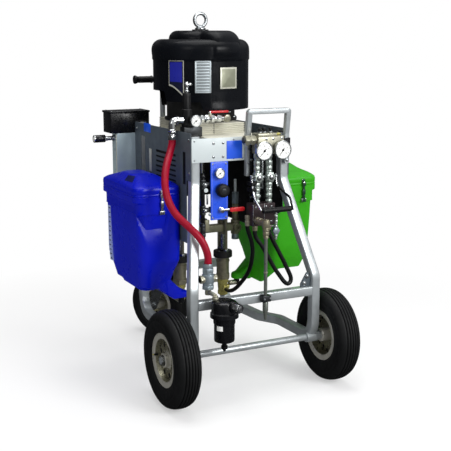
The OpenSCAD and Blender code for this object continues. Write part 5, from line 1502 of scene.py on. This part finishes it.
def air_line():
    form = Form("air_regulator_body", "air_regulator", "black_plastic")
    base = place(REG_X, REG_Y, 0)
    profile = [
        (0, 908), (16, 908), (18, 910), (18, 918), (17.2, 919), (17.2, 945), (18, 946), (18, 966),
        (16.5, 968), (14, 969), (14, 1019), (12.5, 1022), (5.1, 1022),
    ]
    form.add(lathe(profile), black, base)
    for i in range(20):
        form.add(block((13.6, -0.8, 972), (14.6, 0.8, 1016), 0.3, 1), black, base @ turned(18 * i))
    form.add(block((REG_X - 18, REG_Y - 18, DECK_Z + DECK_T), (REG_X + 50, REG_Y + 18, 908), 2), dark_steel)
    form.done()
    form = Form("regulator_wing_screw", "regulator_screw", "nickel")
    form.add(disc(5, 74), chrome, base @ place(0, 0, 986))
    form.add(disc(8, 8, 1.2), chrome, base @ place(0, 0, 1024))
    form.add(disc(7, 16, 1.2), chrome, base @ place(0, 0, 1040))
    form.add(disc(3, 13, 0.8), chrome, to_right(REG_X, REG_Y, 1051))
    form.add(lathe(arc_points((0, 0), 5, -90, 90, 12), 24), chrome, place(REG_X + 14, REG_Y, 1051))
    form.done()
    form = Form("air_valve_fittings", "air_valve")
    nut_row(
        form, chrome, place(HOSE_X, HOSE_Y, 868), ("hex", 15.5, 14), ("round", 12, 6), ("hex", 14.5, 10),
    )
    elbow = bent([(HOSE_X, HOSE_Y, 896), (HOSE_X, HOSE_Y, AIR_Z), (HOSE_X + 39, HOSE_Y, AIR_Z)], (14,), 10)
    form.add(sweep(elbow, round_section(12, 28), (0, 1, 0)), chrome)
    form.add(
        ring(9, 15, 7, 1.5, 36), chrome, place(HOSE_X, HOSE_Y, 896), to_right(HOSE_X + 15, HOSE_Y, AIR_Z),
    )
    row = to_right(REG_X + 14, REG_Y, AIR_Z)
    nut_row(
        form, chrome, row, ("round", 9, 16), ("hex", 14.5, 14), ("round", 10, 6), ("hex", 15.5, 10),
        ("ball", 16, 30), ("hex", 14.5, 12), ("round", 10, 12), ("hex", 13, 14), ("thread", 9, 14),
    )
    form.add(disc(7, 15, 0.8), nickel, place(VALVE_X, REG_Y, AIR_Z + 4))
    form.add(disc(9, 78), nickel, to_back(-1, REG_Y, AIR_Z))
    form.add(disc(13, 22, 3), nickel, to_back(-1, REG_Y - 11, AIR_Z))
    form.done()
    form = Form("air_valve_handle", "air_valve_lever")
    z = AIR_Z + 19.3
    form.add(hexagon(7, 6, 0.8), chrome, place(VALVE_X, REG_Y, z))
    form.add(prism(round_rect(-8, 80, -6, 6, 5), 2.4, 0.5), chrome, place(VALVE_X, REG_Y, z + 0.6))
    form.add(prism(round_rect(-2, 71, -8, 8, 7.5), 7.6, 2.4, 3), red, place(VALVE_X, REG_Y, z - 0.2))
    form.done()


def filter_and_tee():
    form = Form("air_tee_fittings", "air_tee", "zinc")
    base = place(TEE_X, TEE_Y, TEE_Z - 34)
    nut_row(
        form, blue_steel, base, ("hex", 21, 12), ("round", 18, 8), ("round", 20, 30), ("round", 17, 6),
        ("hex", 20, 14), ("round", 16, 16),
    )
    form.add(disc(13, 60, 1.5), nickel, to_right(TEE_X - 30, TEE_Y, TEE_Z))
    form.add(hexagon(14.5, 9, 1.2), nickel, *[to_right(TEE_X + x, TEE_Y, TEE_Z) for x in (-30, 21)])
    form.add(disc(15, 5), dark_steel, base @ place(0, 0, 81))
    form.done()
    form = Form("filter_head_body", "air_filter_head")
    x, y, z, r = -150, -80, 311, 47
    spot = place(x, y, 0)
    profile = [
        (0, z), (r, z), (r, z + 2), (r - 0.5, z + 14), (r - 4, z + 18), (r - 4, z + 44), (r - 7, z + 51),
        (r - 12, z + 54), (r - 16, z + 56), (0, z + 56),
    ]
    form.add(lathe(profile, 64), black_gloss, spot)
    form.add(block((x - 20, y, 324), (x + 20, CROSS_Y - HALF_TUBE, 356), 2), black_gloss)
    inlet = spot @ turned(20) @ to_front(0, -r + 14, z + 40)
    form.add(disc(20, 16, 2), black_gloss, inlet)
    form.add(hexagon(17, 36, 1.4), chrome, inlet @ place(0, 0, 2))
    form.add(ring(9.5, 14, 2, 0.6, 32), dark_steel, inlet @ place(0, 0, 37))
    for i in range(6):
        form.add(disc(3, 3, 0.8, 16), steel, spot @ turned(60 * i + 10) @ place(r - 9, 0, z + 42))
    form.done()
    form = Form("filter_bowl_body", "air_filter_bowl")
    low = 227
    profile = [
        (0, low - 34), (4, low - 34), (5, low - 31), (5, low - 26), (11, low - 25), (11, low - 15),
        (8, low - 14), (8, low - 8), (13, low - 5), (17, low), (29, low + 0.5), (33, low + 3),
        (34, low + 8), (34, low + 60), (35.5, low + 62), (35.5, z), (0, z),
    ]
    form.add(lathe(profile, 64), black_gloss, spot)
    for i in range(24):
        rib = block((33, -1.6, low + 64), (36.4, 1.6, z - 4), 0.6, 1)
        form.add(rib, black_gloss, spot @ turned(15 * i))
    label = [[around(a, 34.6, h) for a in range(-44, -7, 4)] for h in (low + 44, low + 60)]
    form.add(skin(label), white, spot @ turned(-27))
    form.done()


# ---------- pumps ----------

PUMP_X, HEAD_TOP, HEAD_H, CYL_LOW, YOKE_Z, YOKE_H, YOKE_HALF = 90, 410, 25, 300, 485, 28, 155


def pumps():
    form = Form("tie_rod_set", "tie_rods")
    for y in (-27, 27):
        for s in SIDES:
            form.add(disc(6, DECK_Z - HEAD_TOP, 0.6, 24), khaki, s @ place(PUMP_X, MOTOR_Y + y, HEAD_TOP))
            ends = [s @ place(PUMP_X, MOTOR_Y + y, z) for z in (HEAD_TOP, DECK_Z - 8)]
            form.add(hexagon(10, 8, 0.8), steel, *ends)
    form.done()
    form = Form("drive_yoke_bar", "drive_yoke")
    form.add(disc(14, 1000 - YOKE_Z), chrome, place(0, MOTOR_Y, YOKE_Z))
    form.add(disc(22, 26, 2), steel, place(0, MOTOR_Y, YOKE_Z + YOKE_H))
    yoke = block((-YOKE_HALF, MOTOR_Y - 16, YOKE_Z), (YOKE_HALF, MOTOR_Y + 16, YOKE_Z + YOKE_H), 4, 3)
    form.add(yoke, olive)
    for s in SIDES:
        form.add(disc(9, YOKE_Z - 340, 0.8, 32), steel, s @ place(PUMP_X, MOTOR_Y, 340))
        form.add(hexagon(14, 12, 1), khaki, s @ place(PUMP_X, MOTOR_Y, YOKE_Z + YOKE_H))
        form.add(disc(15, 10), khaki, s @ place(PUMP_X, MOTOR_Y, YOKE_Z - 10))
    guide = place(YOKE_HALF - 12, MOTOR_Y, 0)
    for radius, low, high, material in (
        (17, 471, 525, olive), (14, 449, 471, blue_steel), (12, 525, 548, khaki), (11, 548, 560, brass),
        (12, 560, 574, khaki), (12, 574, 587, olive), (5, 630, 681, white_panel),
    ):
        form.add(disc(radius, high - low, 1.6), material, guide @ place(0, 0, low))
    form.add(hexagon(14, 43, 1.4), blue_steel, guide @ place(0, 0, 587))
    form.add(ring(7, 17, 8, 2, 40), khaki, guide @ place(0, -16, 496) @ turned(90, "X"))
    form.done()
    form = Form("pump_collars", "pump_heads", "cast_iron")
    for s in SIDES:
        spot = s @ place(PUMP_X, MOTOR_Y, HEAD_TOP - HEAD_H)
        profile = [(9.6, 0), (34, 0), (36, 2), (36, 22), (34, 25), (9.6, 25), (9.6, 0)]
        form.add(lathe(profile), cast, spot)
        form.add(ring(9.6, 16, 4, 1, 32), cast, spot @ place(0, 0, 25))
        for i in range(6):
            form.add(disc(3, 2.6, 0.8, 16), steel, spot @ turned(60 * i + 30) @ place(24, 0, 24))
    form.done()
    form = Form("pump_barrels", "pump_cylinders")
    for s in SIDES:
        spot = s @ place(PUMP_X, MOTOR_Y, CYL_LOW)
        profile = [
            (9.6, 0), (23, 0), (24, 1), (24, 66), (26, 67), (26, 74), (24, 75), (24, 85), (9.6, 85),
            (9.6, 0),
        ]
        form.add(lathe(profile), khaki, spot)
        profile = [(23, 0), (28, 0), (29, 1.2), (29, 16.8), (28, 18), (23, 18), (23, 0)]
        form.add(lathe(profile, 6), khaki, spot)
    form.done()
    form = Form("brass_intakes", "brass_fittings")
    for s in SIDES:
        spot = s @ place(PUMP_X, MOTOR_Y, 0)
        profile = [
            (0, 236), (15, 236), (18, 239), (18, 284), (22, 286), (22, 300), (9.6, 300), (9.6, 276),
            (0, 276),
        ]
        form.add(lathe(profile), brass, spot)
        form.add(hexagon(22, 14, 1.4), brass, spot @ place(0, 0, 240))
        form.add(disc(12, 20), brass, spot @ to_front(0, -8, 262))
        form.add(hexagon(14, 9, 1), brass, spot @ to_front(0, -18, 262))
        form.add(disc(9, 12), brass, spot @ to_right(14, 0, 266))
    form.add(disc(10, 20, 0.8), nickel, place(TEE_X, TEE_Y, 372))
    form.add(hexagon(12, 8, 1), nickel, place(TEE_X, TEE_Y, 376))
    form.add(disc(7, 54, 0.8), nickel, to_back(TEE_X, -66, 382))
    form.add(disc(9, 14, 0.8), nickel, place(TEE_X, -66, 367))
    form.add(hexagon(12, 7, 1), nickel, place(TEE_X, -66, 369))
    form.done()


# ---------- caster ----------

SWIVEL_Y, TRAIL, CASTER_R, CASTER_W = 705, 55, 130, 76
CASTER = place(0, SWIVEL_Y, 0) @ turned(30)
CROWN_Z = REAR_CROSS_Z - 16 - 6 - 24


def caster():
    form = Form("caster_top_plate", "caster_plate")
    top = REAR_CROSS_Z - 16
    spot = place(0, SWIVEL_Y, 0)
    form.add(prism(round_rect(-60, 60, -50, 50, 8), 6, 1), steel, spot @ place(0, 0, top - 6))
    form.add(lathe([(0, 0), (32, 0), (34, 2), (34, 8), (0, 8)]), steel, spot @ place(0, 0, top - 14))
    form.add(disc(8, top - CROWN_Z + 5), steel, spot @ place(0, 0, CROWN_Z - 11))
    form.add(hexagon(14, 7.7, 1), steel, spot @ place(0, 0, CROWN_Z - 13))
    for x in (-45, 45):
        for y in (-34, 34):
            form.add(hexagon(7, 5), steel, spot @ place(x, y, top - 11))
    form.done()
    form = Form("caster_fork_pressed", "caster_fork")
    half = CASTER_W / 2 + 7
    form.add(block((-half, -30, CROWN_Z - 5), (half, 44, CROWN_Z), 1.6), steel, CASTER)
    profile = [(8.1, 0), (32, 0), (32, 12), (30, 15.7), (8.1, 15.7)]
    form.add(lathe(profile), steel, CASTER @ place(0, 0, CROWN_Z))
    leg = [
        (-26, CROWN_Z), (-26, CROWN_Z - 5), *arc_points((TRAIL, CASTER_R), 20, 208, 375, 14),
        (40, CROWN_Z - 5), (40, CROWN_Z),
    ]
    plate = prism(leg, 5, 1.2)
    up = Matrix(((0, 0, 1, 0), (1, 0, 0, 0), (0, 1, 0, 0), (0, 0, 0, 1)))
    for s in SIDES:
        form.add(plate.copy(), steel, CASTER @ s @ place(half, 0, 0) @ up)
        form.add(hexagon(13, 7, 1.2), steel, CASTER @ s @ to_right(half + 5, TRAIL, CASTER_R))
    plate.free()
    form.add(disc(8, 2 * (half + 13), 1.2), steel, CASTER @ to_right(-half - 13, TRAIL, CASTER_R))
    form.done()
    spot = CASTER @ to_right(0, TRAIL, CASTER_R)
    form = Form("caster_tyre_tread", "caster_tyre")
    tyre_form(form, CASTER_R, CASTER_W, 62, 10, 4, spot)
    form.done(50)
    form = Form("caster_rim_pressed", "caster_rim")
    rim_form(form, 62, 10, CASTER_W, 20, CASTER_W / 2 + 6.7, 5, 8, spot)
    form.done(40)


# ---------- heater ----------


def heater():
    form = Form("heater_column", "fluid_heater")
    left, right, back, low, top = -262, -165, 640, 560, 855
    form.add(block((left, REAR_FACE, low), (right, back, top), 3, 3), heater_grey)
    # A pale strip up the column's front left edge: painted highlight
    form.add(block((left - 1.5, REAR_FACE + 2, low + 6), (left + 1, REAR_FACE + 7, top - 5)), pale_plate_and_highlight)
    for z in range(low + 40, low + 268, 38):
        form.add(block((left - 2, REAR_FACE + 9, z), (right + 2, back - 6, z + 3)), heater_grey)
    form.add(block((left - 2, 596, low + 10), (left, 632, low + 80), 0.6), white)
    gauge_z = 836
    nut_row(form, steel, to_left(left, 612, gauge_z), ("hex", 12, 8), ("round", 8, 30))
    form.add(disc(7, 22), steel, to_back(left - 38, 590, gauge_z))
    form.add(disc(14, 40, 2), black_gloss, to_left(left - 38, 612, gauge_z))
    form.add(ring(10, 14, 4, 1), chrome, to_left(left - 78, 612, gauge_z))
    form.add(disc(11, 2, 0.5), white, to_left(left - 78, 612, gauge_z))
    form.done()
    form = Form("heater_junction_box", "heater_box")
    left, right, back, lid_z = -285, -130, 670, 930
    form.add(block((left, REAR_FACE, top), (right, back, lid_z), 3, 3), black_gloss)
    cover = block((left - 3, REAR_FACE, lid_z - 1), (right + 3, back + 3, lid_z + 7), 2.4, 3)
    form.add(cover, black_gloss)
    for x in (left + 9, right - 9):
        for y in (REAR_FACE + 12, back - 9):
            form.add(disc(4, 2, 0.8, 20), steel, place(x, y, lid_z + 6.5))
    form.done()


# ---------- the whole part ----------

# Each side's name, the way its mouldings are turned, its colour and the darker copy painted as shade in its
# lid's grip, and its latch
BY_SIDE = (
    ("left", MIRROR, TURNED, hopper_blue, hopper_blue_grip_shade, 262, steel),
    ("right", SIDES[0], SIDES[0], hopper_green, hopper_green_grip_shade, 296, latch_green),
)
for side, m, *_ in BY_SIDE:
    side_frame(side, m)
for make in (front_cross_tubes, rear_frame, bushes_and_plugs):
    make()
for side, m, *_ in BY_SIDE:
    wheel(side, m)
for make in (axle, motor_cover, cover_trim, exhaust_grille, motor_base, lifting_eye, tie_plate):
    make()
for side, m, moulding, colour, shadow, latch_x, metal in BY_SIDE:
    hopper(side, m, colour, latch_x, moulding)
    lid(side, m, colour, latch_x, moulding, shadow)
    latch(side, m, latch_x, metal)
for make in (
    pressure_gauges, manifold, fluid_valves, valve_block, static_mixer, mixing_lever, manifold_plate,
    gate_handle, rear_handle, side_panels, front_panel, control_panel, panel_piping, air_line,
    filter_and_tee, pumps, caster, heater,
):
    make()


# ---------- carried-over nodes ----------

for name, node in frame["nodes"].items():
    for socket in node.material_slots:
        socket.material = SLOT_MATERIALS[SLOT_OF[name]]


# ---------- light ----------

LIGHT_FROM, ROOM_STRENGTH = (0.30, -0.42, 0.856), 0.62
RAMP = ((0.38, 0.10), (0.46, 0.30), (0.50, 0.12), (0.57, 0.10), (0.66, 0.45), (0.78, 1.0))
WHITE = (1, 1, 1, 1)

world = bpy.data.worlds.new("studio")
bpy.context.scene.world = world
world.use_nodes = True
tree = world.node_tree
background = tree.nodes["Background"]
feed(tree, background, {"Color": WHITE, "Strength": 1.0})
generated = add_node(tree, "TexCoord", {})["Generated"]
toward = add_node(tree, "VectorMath", {0: generated, 1: LIGHT_FROM}, operation="DOT_PRODUCT")["Value"]
half = add_node(tree, "MapRange", {"Value": toward, "From Min": -1})["Result"]
shade = add_node(tree, "ValToRGB", {"Fac": half})["Color"]
ramp = shade.node.color_ramp.elements
ramp[0].color, ramp[1].color = (0.04, 0.04, 0.042, 1), WHITE
for position, level in RAMP:
    ramp.new(position).color = (level, level, level * 1.02, 1)
room = add_node(tree, "Background", {"Color": shade, "Strength": ROOM_STRENGTH})["Background"]
seen = add_node(tree, "LightPath", {})["Is Camera Ray"]
chosen = add_node(tree, "MixShader", {"Fac": seen, 1: room, 2: background.outputs["Background"]})["Shader"]
feed(tree, tree.nodes["World Output"], {"Surface": chosen})


def lamp(name, spot, size, power):
    """A soft square lamp that looks at the middle of the cart."""
    data = bpy.data.lights.new(name, "AREA")
    data.shape = "RECTANGLE"
    data.size, data.size_y, data.energy = size, size, power
    light = stand(name, data)
    light.location = CART @ Vector(spot)
    aim = CART @ Vector((0, 300, 500)) - light.location
    light.rotation_euler = aim.to_track_quat("-Z", "Y").to_euler()


lamp("key", (1150, -3000, 2050), 1.5, 84)
lamp("fill", (-2700, -1500, 2300), 1.2, 12)
lamp("top", (0, 300, 3300), 2.2, 52)

# The floor is paint near the cart, where it takes the shadow, and fades to plain white further out
NEAR, FAR, LEAST_GLOW = 0.6, 1.7, 0.45
floor_paint = finish("floor_white", (250.463,) * 3, 0.7, spread=0.004, patch=2, bump=0.01, specular=0.1)
tree = floor_paint.node_tree
middle = add_node(tree, "TexCoord", {})["Object"]
reach = add_node(tree, "VectorMath", {0: middle}, operation="LENGTH")["Value"]
fade = add_node(
    tree, "MapRange", {"Value": reach, "From Min": NEAR, "From Max": FAR, "To Min": LEAST_GLOW},
)["Result"]
shine = add_node(tree, "Emission", {"Color": WHITE})["Emission"]
paint = tree.nodes["Principled BSDF"].outputs["BSDF"]
mixed = add_node(tree, "MixShader", {"Fac": fade, 1: paint, 2: shine})["Shader"]
feed(tree, tree.nodes["Material Output"], {"Surface": mixed})
bpy.ops.mesh.primitive_plane_add(size=24, location=(0, 0, -0.0005))
floor = bpy.context.object
floor.name = "floor"
floor.data.materials.append(floor_paint)
floor.visible_glossy = False
bpy.context.scene.view_settings.view_transform = "Standard"
